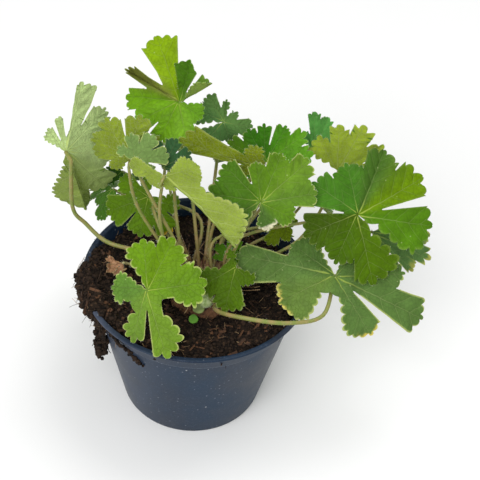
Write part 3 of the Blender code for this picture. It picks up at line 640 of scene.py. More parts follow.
# Each leaf has its hub, the facing of its upper side, its foot in the crown and the way points
# of its stalk. A lobe is (angle, length, width, lift, curl, fold) from the hub, and joins says how
# far out each two neighbours are one sheet, as a share of their mean length.
LEAVES = {
    "leaf_01": dict(
        hub=(-17, 49, 176), az=-12, el=48, foot=(2.0, 0.6), via=[(-12, 45, 154)],
        joins=[0.3, 0.25, 0.35, 0.6, 0.85, 0.62, 0.85, 0.85],
        lobes=[(122, 25, 0.9, 20, 20, (110, 10)), (168, 28, 1.1, 30, 20, 35),
               (214, 41, 0.95, 0, -10, 8), (252, 35, 0.8, 8, 0, 65), (276, 31, 1.1, 0, -10, 8),
               (308, 27, 1.1, 0, -10, 8), (346, 25, 1.1, 0, -10, 8), (386, 27, 1.1, 0, -10, 8),
               (428, 16, 1.1, 0, -10, 8)]),
    "leaf_02": dict(
        hub=(-76, 21, 157), az=-148, el=4, foot=(-7.7, 1.3), stalk_r=(1.3, 1.1),
        via=[(-26, 2, 103), (-51, 7, 104), (-65, 12, 113), (-72, 12, 125)],
        joins=[0.4, 0.4, 0.5, 0.8, 0.85, 0.85, 0.8],
        lobes=[(152, 17, 0.8, 25, 0, 0), (178, 22, 0.8, 15, 0, 0), (195, 45, 1, 0, 10, 0),
               (229, 33, 1, 0, 10, 0), (264, 31, 1, 0, 10, 0), (299, 35, 1.1, 0, 10, 0),
               (328, 50, 1, 0, 10, 0), (346, 59, 0.8, 0, 10, 40)]),
    "leaf_03": dict(
        hub=(-54, 45, 111), az=-60, el=45, foot=(-4.5, -2.8), via=[(-35, 36, 105)],
        joins=[0.45, 0.7, 0.5],
        lobes=[(303, 12, 0.9, 0, -10, 0), (336, 17, 0.9, 0, -20, 0), (373, 21, 0.9, 0, -20, 0),
               (438, 14, 0.9, 0, -20, 0)]),
    "leaf_04": dict(
        hub=(-41, 24, 154), az=180, el=8, foot=(-2.2, -7.0), via=[(-34, 9, 129)],
        joins=[0.7, 0.85, 0.85, 0.55, 0.8],
        lobes=[(48, 15, 0.8, 0, 0, 0), (92, 22, 1, 0, 20, 0), (122, 25, 1.1, 0, 20, 0),
               (152, 29, 1.1, 0, 20, 0), (190, 30, 1.1, 0, 20, 0), (226, 22, 1, 0, 20, 0)]),
    "leaf_05": dict(
        hub=(-19, -8, 171), az=165, el=5, foot=(-4.7, -15.4), via=[(-14, 14, 123), (-17, 18, 144)],
        joins=[0.8, 0.6, 0.6, 0.8],
        lobes=[(238, 22, 1.1, 0, 10, 0), (308, 54, 1.05, 0, -15, (5, 40)), (336, 12, 1, 0, 10, 0),
               (400, 14, 1, 0, 10, 0), (448, 21, 1, 0, 10, 0)]),
    "leaf_06": dict(
        hub=(33, 42, 144), az=0, el=55, foot=(5.9, -6.0), via=[(19, 35, 119)],
        joins=[0.8, 0.8, 0.45, 0.8, 0.75, 0.7],
        lobes=[(103, 28, 0.9, 10, 0, 0), (128, 29, 0.9, 10, 10, 10), (152, 24, 1, 15, 10, 0),
               (186, 22, 1, 20, 10, 20), (213, 21, 1, 10, 10, 0), (248, 24, 1.1, 5, 10, 0),
               (300, 16, 0.9, 0, 0, 0)]),
    "leaf_07": dict(
        hub=(32, -1, 152), az=5, el=50, foot=(8.1, -13.9), via=[(18, -6, 112), (28, 1, 139)],
        joins=[0.8, 0.8, 0.85, 0.85, 0.8, 0.45, 0.85, 0.85],
        lobes=[(17, 16, 0.9, 0, -15, 5), (66, 21, 0.9, 0, -15, 5), (102, 32, 1.1, 0, -15, 5),
               (133, 37, 1, 0, -20, 5), (158, 29, 1, 8, -15, 5), (188, 22, 0.9, 8, 0, 20),
               (226, 29, 1, 0, -10, 5), (262, 30, 1, 0, -10, 5), (300, 25, 1.1, 0, -15, 5)]),
    "leaf_08": dict(
        hub=(86, 10, 139), az=12, el=48, foot=(12.2, -3.3), via=[(24, 6, 119)],
        joins=[0.32, 0.78, 0.8, 0.8, 0.25, 0.8, 0.75],
        lobes=[(79, 44, 1.1, 0, -10, 5), (116, 43, 1.1, 5, -10, 5), (153, 39, 1.1, 5, -10, 30),
               (190, 29, 1, 10, -10, 5), (233, 31, 1.1, 10, -15, 5), (288, 32, 1.1, 0, -15, 5),
               (332, 30, 0.9, 0, -15, 5), (371, 40, 1.1, 0, -15, 5)]),
    "leaf_09": dict(
        hub=(98, 26, 112), az=20, el=50, foot=(17.8, -4.3), via=[(37, 0, 105)],
        joins=[0.55, 0.85, 0.85],
        lobes=[(20, 21, 0.8, 0, -10, 0), (40, 34, 0.9, 0, -10, 0), (58, 40, 0.95, 0, -10, 0),
               (78, 37, 0.9, 0, -10, 0)]),
    "leaf_10": dict(
        hub=(76, 50, 135), az=170, el=10, foot=(13.3, 1.0), via=[(56, 13, 113)],
        joins=[0.75, 0.8, 0.75, 0.7],
        lobes=[(151, 28, 1, 0, 10, -20), (176, 36, 1, 0, 10, 0), (196, 40, 1.1, 0, 10, 0),
               (221, 35, 0.9, 0, 10, -30), (240, 22, 0.9, 0, 0, 0)]),
    "leaf_11": dict(
        hub=(61, 61, 140), az=20, el=35, foot=(7.4, -2.0), via=[(31, 40, 105)],
        joins=[0.85, 0.85, 0.7],
        lobes=[(120, 19, 1.1, 0, 0, 0), (147, 21, 1.2, 0, -10, 10), (174, 22, 1.2, 0, 0, 20),
               (204, 13, 1, 0, 0, 30)]),
    "leaf_12": dict(
        hub=(8, 56, 159), az=10, el=50, foot=(3.4, 5.9), via=[(6, 53, 139)],
        joins=[0.8, 0.8, 0.7, 0.35, 0.6, 0.85],
        lobes=[(317, 21, 1.2, 0, -15, 0), (380, 12, 1.1, 0, -15, 0), (440, 17, 1, 0, -10, 0),
               (482, 10, 0.9, 0, 10, 0), (530, 13, 0.7, 0, 10, 40), (567, 18, 1.2, 0, 0, 0),
               (603, 19, 1.1, 0, -10, 0)]),
    "leaf_13": dict(
        hub=(-24, -43, 121), az=-3, el=46, foot=(0.2, -12.5), via=[(-19, -30, 108)],
        joins=[0.5, 0.33, 0.27, 0.7, 0.8],
        lobes=[(272, 19, 1.25, 0, -10, 5), (352, 29, 0.68, 0, -10, 5), (384, 38, 0.8, 0, -10, 5),
               (465, 32, 1.1, 0, -10, 5), (520, 31, 1.1, 0, -10, 5), (551, 27, 1.0, 8, -10, 5)]),
    "leaf_14": dict(
        hub=(-31, 26, 124), az=-8, el=48, foot=(-8.5, -5.5), via=[(-25, 14, 119)],
        joins=[0.6, 0.6, 0.45, 0.7, 0.65],
        lobes=[(200, 12, 1, 0, 0, 0), (246, 20, 1.1, 0, 0, 0), (300, 26, 1.15, 0, -10, 0),
               (358, 23, 1.15, 0, -12, 0), (404, 24, 1.1, 0, -15, 0), (442, 19, 1, 0, -15, 0)]),
    "leaf_15": dict(
        hub=(77, -11, 111), az=4, el=56, foot=(14.7, -8.1), stalk_r=(1.3, 1.1),
        via=[(13, -32, 98), (30, -41, 103), (53, -39, 100), (72, -29, 98)],
        joins=[0.85, 0.8, 0.25, 0.3, 0.8, 0.6],
        lobes=[(236, 30, 1, 0, 0, 0), (260, 56, 0.9, 0, -5, 0), (297, 35, 1.15, 0, -20, 0),
               (394, 39, 0.85, 0, -20, 0), (428, 56, 0.95, 0, -20, 0), (455, 40, 0.8, 0, -10, 0),
               (500, 19, 0.8, 0, 0, 0)]),
    "leaf_16": dict(
        hub=(22, -16, 116), az=5, el=50, foot=(13.1, -14.2), via=[(20, -16, 96), (21, -12, 103)],
        joins=[0.5, 0.75, 0.7],
        lobes=[(203, 11, 0.8, 10, 0, 0), (300, 24, 1.1, 0, -10, 0), (347, 25, 1.15, 0, -15, 0),
               (408, 13, 1, 0, -10, 0)]),
    "leaf_17": dict(
        hub=(16, 4, 101), az=0, el=60, foot=(18.0, -11.8), via=[(19, -1, 98), (17, 6, 95)],
        joins=[0.6, 0.6, 0.6],
        lobes=[(108, 13, 1.1, 0, 0, 0), (158, 15, 1.1, 0, 0, 0), (214, 11, 1, 0, 0, 0),
               (258, 8, 0.9, 0, -10, 0)]),
    "leaf_18": dict(
        hub=(46, 24, 116), az=10, el=55, foot=(9.9, -9.4), via=[(9, 10, 111)],
        joins=[0.7, 0.7, 0.6],
        lobes=[(286, 13, 0.8, 0, 0, 0), (325, 16, 1, 0, -10, 0), (376, 12, 1, 0, -10, 0),
               (448, 9, 0.9, 0, 0, 0)]),
    "leaf_19": dict(
        hub=(-49, 51, 120), az=-30, el=50, foot=(1.4, -3.8), via=[(-37, 44, 106)], joins=[0.6, 0.5],
        lobes=[(282, 11, 0.9, 0, 0, 0), (336, 11, 0.9, 0, 0, 0), (422, 10, 0.9, 0, 0, 0)]),
    "leaf_20": dict(
        hub=(-37, 9, 166), az=15, el=52, foot=(4.4, -10.2), via=[(-31, 10, 146)],
        joins=[0.55, 0.6, 0.6, 0.55],
        lobes=[(50, 13, 1.1, 0, -20, 0), (92, 19, 1.15, 8, -20, 0), (134, 17, 1.1, 5, 0, 0),
               (182, 14, 1.1, 5, 0, 0), (226, 11, 1, 0, 0, 0)]),
    "leaf_21": dict(
        hub=(-22, 13, 159), az=-10, el=50, foot=(-10.4, -10.1), via=[(-22, 1, 132)],
        joins=[0.6, 0.6, 0.6],
        lobes=[(88, 13, 1, 5, 0, 0), (126, 18, 1.1, 12, 0, 0), (164, 17, 1.1, 8, 0, 0),
               (212, 15, 1.1, 0, 0, 0)]),
    "leaf_22": dict(
        hub=(-24, 70, 128), az=176, el=52, foot=(-2.1, 7.0), via=[(-15, 22, 108)],
        joins=[0.76, 0.84, 0.6, 0.68, 0.76, 0.84],
        lobes=[(-148, 20, 1.1, -4, -12, 6), (-99, 25, 1.1, 8, -12, 6), (-46, 29, 1.1, 8, -12, 6),
               (1, 31, 1.1, 0, -12, 6), (45, 29, 1.1, -4, -12, 6), (100, 24, 1.1, 8, -12, 6),
               (144, 19, 1.1, -4, -12, 6)]),
    "leaf_23": dict(
        hub=(26, 74, 120), az=-170, el=48, foot=(7.0, 2.7), via=[(20, 45, 106)],
        joins=[0.84, 0.6, 0.68, 0.76, 0.84, 0.6],
        lobes=[(-141, 18, 1.1, -4, -12, 6), (-100, 23, 1.1, 4, -12, 6), (-46, 27, 1.1, 4, -12, 6),
               (-2, 28, 1.1, 0, -12, 6), (49, 26, 1.1, 0, -12, 6), (101, 23, 1.1, 8, -12, 6),
               (147, 18, 1.1, 4, -12, 6)]),
    "leaf_24": dict(
        hub=(60, 62, 102), az=140, el=50, foot=(11.4, 5.6), via=[(28, 19, 99), (45, 39, 95)],
        joins=[0.6, 0.68, 0.76, 0.84, 0.6],
        lobes=[(-147, 15, 1.1, 0, -12, 6), (-88, 20, 1.1, 8, -12, 6), (-28, 24, 1.1, -4, -12, 6),
               (30, 25, 1.1, 8, -12, 6), (85, 22, 1.1, 0, -12, 6), (143, 17, 1.1, 8, -12, 6)]),
    "leaf_25": dict(
        hub=(-53, 69, 96), az=-140, el=50, foot=(-2.5, 2.4), via=[(-3, 28, 112)],
        joins=[0.68, 0.76, 0.84, 0.6, 0.68],
        lobes=[(-147, 16, 1.1, -4, -12, 6), (-85, 20, 1.1, 8, -12, 6), (-32, 24, 1.1, -4, -12, 6),
               (25, 25, 1.1, 4, -12, 6), (89, 23, 1.1, -4, -12, 6), (143, 18, 1.1, 4, -12, 6)]),
    "leaf_26": dict(
        hub=(33, 19, 160), az=176, el=10, foot=(4.5, 1.6), via=[(9, 17, 122)], joins=[0.6, 0.7],
        lobes=[(70, 17, 1, 0, 0, 0), (101, 49, 0.95, 0, 10, 0), (146, 17, 1, 0, 10, 0)]),
    "dead_leaf": dict(
        hub=(-42, -2, 98), az=-35, el=42, foot=(-5.4, -10.9), via=[(-15, -15, 98), (-27, -9, 96)],
        lobes=[(-70, 10, 1, 20, 50, 30), (-15, 13, 1, 25, 60, 30), (40, 12, 1, 20, 50, 20)]),
}
# How each leaf looks: its upper and lower colour, the colours of lobes that differ, how pointed
# its teeth are, its pale margin, scorched lobes as (lobe, from, colour) and holes as (x, y, r).
# The lobe colours that differ hold painted light and shade as well as their own tint: lobes are lighter or
# darker by how they face the light, and some greyer or bluer with painted sky reflection.
LOOKS = {
    "leaf_01": dict(top=(118, 169, 24), under=(152, 179, 79), point=0.1, teeth=0.85,
                    lobes={0: (118, 157, 56), 1: (89, 137, 31), 2: (136, 171, 9), 3: (127, 133, 56),
                    4: (118, 169, 24), 7: (127, 177, 42), 8: (111, 165, 30)}),
    "leaf_02": dict(top=(109, 140, 48), under=(194, 218, 144), point=0.8, teeth=0.7, rim=0.2,
                    under_lobes={6: (165, 188, 107), 7: (141, 162, 73)}, holes=[(-7, 20, 1.8)]),
    "leaf_03": dict(top=(72, 118, 26), under=(112, 141, 59)),
    "leaf_04": dict(top=(111, 142, 70), under=(144, 165, 48), point=0.4, rim=0.3),
    "leaf_05": dict(top=(83, 116, 58), under=(153, 176, 62), point=0.4, teeth=0.6, rim=0.6,
                    under_lobes={1: (157, 178, 70)}),
    "leaf_06": dict(top=(77, 140, 21), under=(108, 149, 31), point=0.45, rim=0.4,
                    lobes={0: (106, 168, 33), 1: (106, 168, 33), 3: (68, 131, 24), 4: (61, 122, 19),
                    5: (83, 126, 16)}),
    "leaf_07": dict(top=(96, 137, 27), under=(152, 176, 69), point=0.1, teeth=0.8, rim=0.8,
                    lobes={0: (84, 120, 47), 2: (103, 143, 43), 3: (114, 153, 41), 6: (81, 125, 23),
                    7: (81, 125, 23), 8: (81, 120, 35)}, scorch=[(0, 0.75, (232, 226, 196)),
                    (8, 0.86, (222, 200, 130))]),
    "leaf_08": dict(top=(77, 117, 8), under=(122, 161, 89), point=0.05, rim=0.15,
                    lobes={0: (87, 134, 17), 1: (110, 145, 3), 2: (77, 114, 38), 3: (73, 126, 29),
                    4: (75, 129, 31), 5: (68, 96, 4), 6: (75, 110, 3), 7: (81, 115, 4)}),
    "leaf_09": dict(top=(93, 129, 68), under=(122, 151, 89), point=0.2, rim=0.7,
                    scorch=[(1, 0.84, (164, 168, 80)), (2, 0.88, (170, 172, 84)),
                    (3, 0.9, (170, 172, 84))], holes=[(14, 17, 1.9)]),
    "leaf_10": dict(top=(89, 131, 40), under=(170, 193, 54), point=0.8, rim=0.3),
    "leaf_11": dict(top=(93, 159, 72), under=(122, 161, 89), point=0.2),
    "leaf_12": dict(top=(95, 134, 67), under=(132, 166, 109), point=0.3, rim=0.3,
                    lobes={0: (77, 118, 59), 6: (81, 122, 63), 1: (75, 114, 56)}),
    "leaf_13": dict(top=(113, 148, 30), under=(162, 191, 79), point=0.15, rim=0.9,
                    lobes={0: (100, 141, 51), 1: (115, 150, 50), 2: (117, 153, 42), 3: (107, 148, 27),
                    4: (113, 153, 19), 5: (109, 150, 19)}),
    "leaf_14": dict(top=(89, 125, 5), under=(152, 171, 59), point=0.15, rim=0.3,
                    scorch=[(4, 0.9, (206, 160, 40))]),
    "leaf_15": dict(top=(94, 126, 60), under=(142, 171, 99), point=0.4, teeth=0.7, rim=0.9,
                    lobes={0: (88, 121, 54), 2: (106, 135, 58), 1: (96, 128, 61)},
                    scorch=[(2, 0.88, (222, 206, 104)), (3, 0.88, (214, 196, 90))]),
    "leaf_16": dict(top=(81, 114, 6), under=(142, 171, 59), point=0.5, rim=0.4),
    "leaf_17": dict(top=(74, 121, 7), under=(122, 151, 59), point=0.6),
    "leaf_18": dict(top=(102, 123, 7), under=(142, 161, 59), point=0.3, rim=0.3),
    "leaf_19": dict(top=(39, 79, 7), under=(81, 111, 39)),
    "leaf_20": dict(top=(127, 158, 84), under=(160, 181, 95), point=0.1, rim=1.0),
    "leaf_21": dict(top=(52, 92, 52), under=(152, 176, 89), point=0.2, rim=0.4),
    "leaf_22": dict(top=(83, 125, 26), under=(142, 169, 79), point=0.15, rim=0.3),
    "leaf_23": dict(top=(73, 118, 23), under=(134, 163, 83), point=0.15, rim=0.3),
    "leaf_24": dict(top=(89, 127, 40), under=(146, 169, 87), point=0.2, rim=0.4),
    "leaf_25": dict(top=(69, 110, 26), under=(132, 161, 79), point=0.2, rim=0.4),
    "leaf_26": dict(top=(70, 112, 40), under=(140, 158, 30), point=0.5, rim=0.5),
    "dead_leaf": dict(top=(172, 130, 98), under=(150, 108, 80), point=0.6, stalk=(176, 172, 120)),
}
STALK_GREEN = (116, 130, 56)
STALK_BASE = (124, 96, 62)
LEAF_THICKNESS = 0.32
STALK_R = (1.05, 0.8)
STALK_SIDES = 10
SINUS = 0.34
FOOT_Z = 84.0
FOOT_TOP = 93.0
LEAN_FROM_Z = 92
# How far under the hub the stalk passes on its way up, straight out from the blade.
HUB_APPROACH = (7, 3, 1, 0.1)
COLUMNS = 6
OPEN_REACH = 32
JOIN_LIMIT = 1.1
# The margin of half a lobe 1 long as s and w, before its teeth are cut.
MARGIN = [(0.10, 0.05), (0.30, 0.16), (0.43, 0.235), (0.56, 0.315), (0.69, 0.385), (0.80, 0.375),
          (0.885, 0.29), (0.955, 0.15), (1.0, 0.0)]
BASE_ROWS = 6
TOOTH_ROWS = 6
TOOTH_SHARE = 0.185
TOOTH_SIZES = (3.6, 7.6)
TOOTH_DEPTH = 0.44
TOOTH_STRAY = 0.16
NOTCH_RANGE = (0.6, 1.3)
FULL_RUN = 1.1
BASE_SHARE = 0.45
# Neighbouring lobes part by a narrow gap that widens outwards.
SINUS_GAP = 0.3
SINUS_FLARE = 0.10
LEAST_HALF_WIDTH = 0.4
# Side veins, as shares of a lobe's length, and the relief of the sheet that goes with them.
VEIN_STEP = 0.17
VEIN_BOW = (0.75, 0.9)
VEIN_WIDTH = 0.013
SWELL, GROOVE, WAVE = 0.010, 0.008, 0.022
SHEET_UV = 0.02


def facing(azimuth, elevation):
    """Axes of a blade: down its slope, across it and out of its upper face."""
    a, e = math.radians(azimuth), math.radians(elevation)
    out = Vector((math.cos(e) * math.sin(a), -math.cos(e) * math.cos(a), math.sin(e)))
    flat = Vector((math.sin(a), -math.cos(a), 0))
    down = flat * math.sin(e) - Vector((0, 0, 1)) * math.cos(e)
    return down, out.cross(down), out


def bent(along, across, lobe):
    """Carry a point of the flat lobe on to its curved midrib and folded halves."""
    angle, length, _, lift, curl, fold = lobe
    start = math.radians(lift)
    rate = math.radians(curl if abs(curl) > 0.1 else 0.1) / length
    slope = start + rate * along
    x = (math.sin(slope) - math.sin(start)) / rate
    z = -(math.cos(slope) - math.cos(start)) / rate
    near, far = fold if isinstance(fold, tuple) else (fold, fold)
    tilt = math.radians(far if across > 0 else near) * min(1.0, max(0.0, 3 * along / length))
    rise = abs(across) * math.sin(tilt)
    side = across * math.cos(tilt)
    x, z = x - math.sin(slope) * rise, z + math.cos(slope) * rise
    c, s = math.cos(math.radians(angle)), math.sin(math.radians(angle))
    return Vector((x * c - side * s, x * s + side * c, z))


def tooth_arch(start, peak, end, point, t):
    """A point of the rounded arch of one tooth, from notch to notch through its peak."""
    middle = (8 * peak - start - end) / 6
    reach = (end - start) * (0.04 + 0.46 * (1 - point))
    first, second = middle - reach, middle + reach
    return ((1 - t) ** 3 * start + 3 * t * (1 - t) ** 2 * first + 3 * t * t * (1 - t) * second
            + t ** 3 * end)


def along_path(path, distance):
    """The point at a distance along a path of straight pieces, and the heading there."""
    for a, b in zip(path, path[1:]):
        step = (b - a).length
        if distance <= step or b is path[-1]:
            heading = (b - a).normalized()
            return a + heading * min(distance, step), heading
        distance -= step


def margin_rows(lobe, half_gap, sinus, joined, look, rng):
    """Rows of half a lobe: midrib station, and the margin's s and w, all in millimetres."""
    length, width = lobe[1], lobe[2]
    a = math.radians(half_gap)
    if joined:
        first = Vector((sinus * math.cos(a), sinus * math.sin(a)))
    else:
        first = Vector((MARGIN[0][0], MARGIN[0][1] * width)) * length
    path = [first] + [Vector((s, w * width)) * length for s, w in MARGIN
                      if s * length > first.x + 0.04 * length]
    run = sum((q - p).length for p, q in zip(path, path[1:]))
    size = min(TOOTH_SIZES[1], max(TOOTH_SIZES[0], TOOTH_SHARE * length)) * look.get("teeth", 1)
    # Both halves of a lobe have the same rows, so that they meet along the midrib.
    count = TOOTH_ROWS * (round(FULL_RUN * length / size) + 1)
    teeth = max(2, round(run / size - 0.5))
    size = run / (teeth + 0.5)
    point = look.get("point", 0.25)
    strays = [rng.uniform(-TOOTH_STRAY, TOOTH_STRAY) for _ in range(teeth)]
    places = [0.0] + [size * (k + 1 + stray) for k, stray in enumerate(strays)] + [run]
    notches = [first]
    for k in range(1, teeth + 1):
        at, heading = along_path(path, places[k])
        depth = size * TOOTH_DEPTH * rng.uniform(*NOTCH_RANGE)
        notches.append(at - Vector((-heading.y, heading.x)) * depth)
    notches.append(path[-1])
    peaks = [along_path(path, (p + q) / 2)[0] for p, q in zip(places, places[1:])]
    peaks[-1] = notches[-2].lerp(notches[-1], 0.5) + Vector((0.16, 0.1)) * size
    rows = [(BASE_SHARE * n / BASE_ROWS, first * (n / BASE_ROWS)) for n in range(BASE_ROWS + 1)]
    for n in range(1, count + 1):
        far = n / count
        k = min(teeth, int(far * (teeth + 1)))
        edge = tooth_arch(notches[k], peaks[k], notches[k + 1], point, far * (teeth + 1) - k)
        rows.append((BASE_SHARE + (1 - BASE_SHARE) * far, edge))
    steep = math.tan(min(a, math.radians(80)))
    done = []
    for n, (station, edge) in enumerate(rows):
        w = edge.y
        if joined and n > BASE_ROWS:
            w = min(w, edge.x * steep - SINUS_GAP - SINUS_FLARE * max(0.0, edge.x - first.x))
        least = 0.0 if n in (0, len(rows) - 1) else LEAST_HALF_WIDTH
        done.append((station * length, edge.x, max(w, least)))
    return done


def seam_share(along, across, half_gap, sinus):
    """How far a point belongs to the next lobe: half at the seam, nothing past the sinus."""
    if along <= 0:
        return 0.0
    theta = math.degrees(math.atan2(abs(across), along))
    reach = math.hypot(along, across) / sinus
    return 0.5 * min(1.0, theta / half_gap) ** 1.5 * min(1.0, max(0.0, 1 - (reach - 1) / 0.6))


def seam(leaf, i, side):
    """The neighbour of lobe i on one side, half the angle to it and how far out they part."""
    lobes = leaf["lobes"]
    if not 0 <= i + side < len(lobes):
        return None, OPEN_REACH, 0.0
    lobe, other = lobes[i], lobes[i + side]
    join = leaf["joins"][min(i, i + side)] if "joins" in leaf else SINUS
    sinus = join * min((lobe[1] + other[1]) / 2, JOIN_LIMIT * min(lobe[1], other[1]))
    return other, abs(other[0] - lobe[0]) / 2, sinus


def lobe_tints_and_painted_light(look, key, plain, i, side):
    """The colour of lobe i and that of its neighbour on one side, with the painted light and shade that
    lobe colours hold.
    """
    own = look.get(key, {})
    return [Vector(paint(*own.get(n, look[plain]))) for n in (i, i + side)]


def scorched(tints, look, i, far, u, flat):
    """The upper and lower colour of a point, turned brown or pale where its lobe is scorched."""
    for mark, start, colour in look.get("scorch", ()):
        if mark == i and far > start - 0.3:
            ragged = far + 0.10 * noise.noise(flat * 0.35) + 0.12 * (u - 0.8)
            burnt = min(1.0, max(0.0, (ragged - start) / 0.07))
            tints = [c.lerp(Vector(paint(*colour)), burnt) for c in tints]
    return tints


def sheet_rise(s, w, u, length, mean, flat):
    """The sheet swells between its veins, sinks at the midrib and waves towards its margin."""
    far, off = s / length, abs(w) / length
    phase = (far - VEIN_BOW[0] * off - VEIN_BOW[1] * off * off) / VEIN_STEP
    pucker = -math.cos(math.tau * phase) * min(1.0, off / 0.05)
    swell = SWELL * length * pucker * (1 - u * u) * min(1.0, far * 4)
    groove = -GROOVE * length * math.exp(-(off / 0.02) ** 2) * (1 - far)
    wave = WAVE * mean * noise.noise(flat * 0.13) * min(1.0, flat.xy.length / mean)
    return swell + groove + wave


def lay_half_lobe(bm, layers, leaf, i, side, look, axes, hub, seed):
    """Lay one grid of the sheet from the midrib of lobe i to its margin on one side."""
    lobe = leaf["lobes"][i]
    length = lobe[1]
    other, half_gap, sinus = seam(leaf, i, side)
    rng = random.Random(seed * 100 + i * 2 + side)
    rows = margin_rows(lobe, half_gap, sinus, other is not None, look, rng)
    last = len(rows) - 1
    down, across, out = axes
    gap = math.radians(2 * half_gap) * side
    mean = sum(lb[1] for lb in leaf["lobes"]) / len(leaf["lobes"])
    turn = math.radians(lobe[0])
    # Lobe colours that differ from the leaf's carry painted light and shade.
    upper, upper_beside = lobe_tints_and_painted_light(look, "lobes", "top", i, side)
    lower, lower_beside = lobe_tints_and_painted_light(look, "under_lobes", "under", i, side)
    grid = bmesh.ops.create_grid(bm, x_segments=COLUMNS, y_segments=last, size=1)["verts"]
    for v in grid:
        u = (v.co.x + 1) / 2
        station, s, w = rows[round((v.co.y + 1) / 2 * last)]
        s, w = station + (s - station) * u, side * w * u
        share = seam_share(s, w, half_gap, sinus) if other else 0.0
        p = bent(s, w, lobe)
        if share > 0:
            s2 = s * math.cos(gap) + w * math.sin(gap)
            w2 = w * math.cos(gap) - s * math.sin(gap)
            p = p.lerp(bent(s2, w2, other), share)
        flat = Vector((s * math.cos(turn) - w * math.sin(turn),
                       s * math.sin(turn) + w * math.cos(turn), seed))
        p.z += sheet_rise(s, w, u, length, mean, flat)
        v.co = hub + down * p.x + across * p.y + out * p.z
        far = s / length
        tints = upper.lerp(upper_beside, share), lower.lerp(lower_beside, share)
        tint, below = scorched(tints, look, i, far, u, flat)
        v[layers["tint"]] = (*tint, 1)
        v[layers["below"]] = (*below, 1)
        v[layers["rim"]] = look.get("rim", 0.15) if (far > 0.3 or not other) else 0.0
        v[layers["edge"]] = u if (far * length > sinus or not other) else 0.0
        v[layers["lobe"]] = Vector((w / length, far, 0))
        v[layers["sheet"]] = flat
    faces = list({f for v in grid for f in v.link_faces})
    for face in faces:
        for loop in face.loops:
            loop[layers["lobe uv"]].uv = loop.vert[layers["lobe"]].xy
            loop[layers["sheet uv"]].uv = loop.vert[layers["sheet"]].xy * SHEET_UV
    if side > 0:
        bmesh.ops.reverse_faces(bm, faces=faces)


def blade(leaf, look, seed):
    """The whole blade as a closed thin body, with the marks that its material reads."""
    bm = bmesh.new()
    verts = bm.verts.layers
    layers = {"tint": verts.float_color.new("tint"), "below": verts.float_color.new("below"),
              "rim": verts.float.new("rim"),
              "edge": verts.float.new("edge"), "under": verts.float.new("under"),
              "lobe": verts.float_vector.new("lobe place"), "sheet": verts.float_vector.new("sheet place"),
              "lobe uv": bm.loops.layers.uv.new("lobe"), "sheet uv": bm.loops.layers.uv.new("sheet")}
    axes = facing(leaf["az"], leaf["el"])
    hub = Vector(leaf["hub"])
    for i in range(len(leaf["lobes"])):
        for side in (1, -1):
            lay_half_lobe(bm, layers, leaf, i, side, look, axes, hub, seed)
    for x, y, radius in look.get("holes", ()):
        eaten = [f for f in bm.faces if all(
            (v[layers["sheet"]].xy - Vector((x, y))).length < radius + 0.6 for v in f.verts)]
        bmesh.ops.delete(bm, geom=eaten, context="FACES")
    bmesh.ops.remove_doubles(bm, verts=bm.verts, dist=0.03)
    bmesh.ops.dissolve_degenerate(bm, edges=bm.edges, dist=0.005)
    lower_verts, lower_faces = bm.verts[:], bm.faces[:]
    bm.normal_update()
    raised = bmesh.ops.extrude_face_region(bm, geom=lower_faces, use_keep_orig=True)["geom"]
    for v in raised:
        if isinstance(v, bmesh.types.BMVert):
            v.co += (v.normal + axes[2] * 0.3).normalized() * LEAF_THICKNESS
    bmesh.ops.reverse_faces(bm, faces=lower_faces)
    for v in lower_verts:
        v[layers["tint"]] = v[layers["below"]]
        v[layers["under"]] = 1.0
    bm.normal_update()
    return bm, layers


def stalk_points(leaf, steps):
    """A smooth line from the foot through the way points to the underside of the hub."""
    foot = Vector((*leaf["foot"], FOOT_Z))
    lean = Vector(leaf["via"][0]) - Vector((foot.x, foot.y, LEAN_FROM_Z))
    lean = (lean.normalized() * 0.6 + Vector((0, 0, 0.5))).normalized()
    out = facing(leaf["az"], leaf["el"])[2]
    hub = Vector(leaf["hub"])
    top = foot + lean * ((FOOT_TOP - FOOT_Z) / max(lean.z, 0.5))
    knots = [top] + [Vector(p) for p in leaf["via"]] + [hub - out * HUB_APPROACH[0]]
    chain = [foot] + knots + [hub]
    points = [foot + (top - foot) * 0.05]
    for k in range(1, len(chain) - 2):
        a, b, c, d = chain[k - 1:k + 3]
        for n in range(steps):
            t = n / steps
            points.append(0.5 * (2 * b + (c - a) * t + (2 * a - 5 * b + 4 * c - d) * t * t
                                 + (3 * b - a - 3 * c + d) * t ** 3))
    points += [hub - out * under for under in HUB_APPROACH]
    return points


def add_stalk(bm, layers, points, radii, colours, mat_index):
    """A round stalk along the points, in the same mesh as its blade."""
    mesh = swept([points], 1.0, (STALK_SIDES - 4) // 2, radii)
    first_vert, first_face = len(bm.verts), len(bm.faces)
    bm.from_mesh(mesh)
    bm.verts.ensure_lookup_table()
    bm.faces.ensure_lookup_table()
    base, top = (Vector(paint(*c)) for c in colours)
    foot, hub = points[0], points[-1]
    for v in bm.verts[first_vert:]:
        run = (v.co - foot).length / ((v.co - foot).length + (v.co - hub).length + 0.001)
        v[layers["tint"]] = (*base.lerp(top, min(1.0, run * 2.2)), 1)
    for face in bm.faces[first_face:]:
        face.material_index = mat_index


HAIR = shape_mesh(bmesh.ops.create_cone, cap_ends=False, segments=3, radius1=0.045, radius2=0.012,
                  depth=1)
STALK_HAIR = (0.5, 1.1)


def hair(bm, base, heading, length, mat_index):
    """One three-sided hair with an open foot."""
    place = Matrix.Translation(base + heading * length / 2) @ standing(heading)
    put(bm, HAIR, place @ Matrix.Diagonal((1, 1, length, 1)), mat_index)


def hairs_on_stalk(bm, points, count, mat_index, rng):
    for _ in range(count):
        n = rng.randrange(1, len(points) - 1)
        at = points[n].lerp(points[n + 1], rng.random()) if n + 1 < len(points) else points[n]
        run = (points[n] - points[n - 1]).normalized()
        side = run.cross(any_way(rng)).normalized()
        heading = (side + run * rng.uniform(-0.3, 0.5)).normalized()
        hair(bm, at + side, heading, rng.uniform(*STALK_HAIR), mat_index)


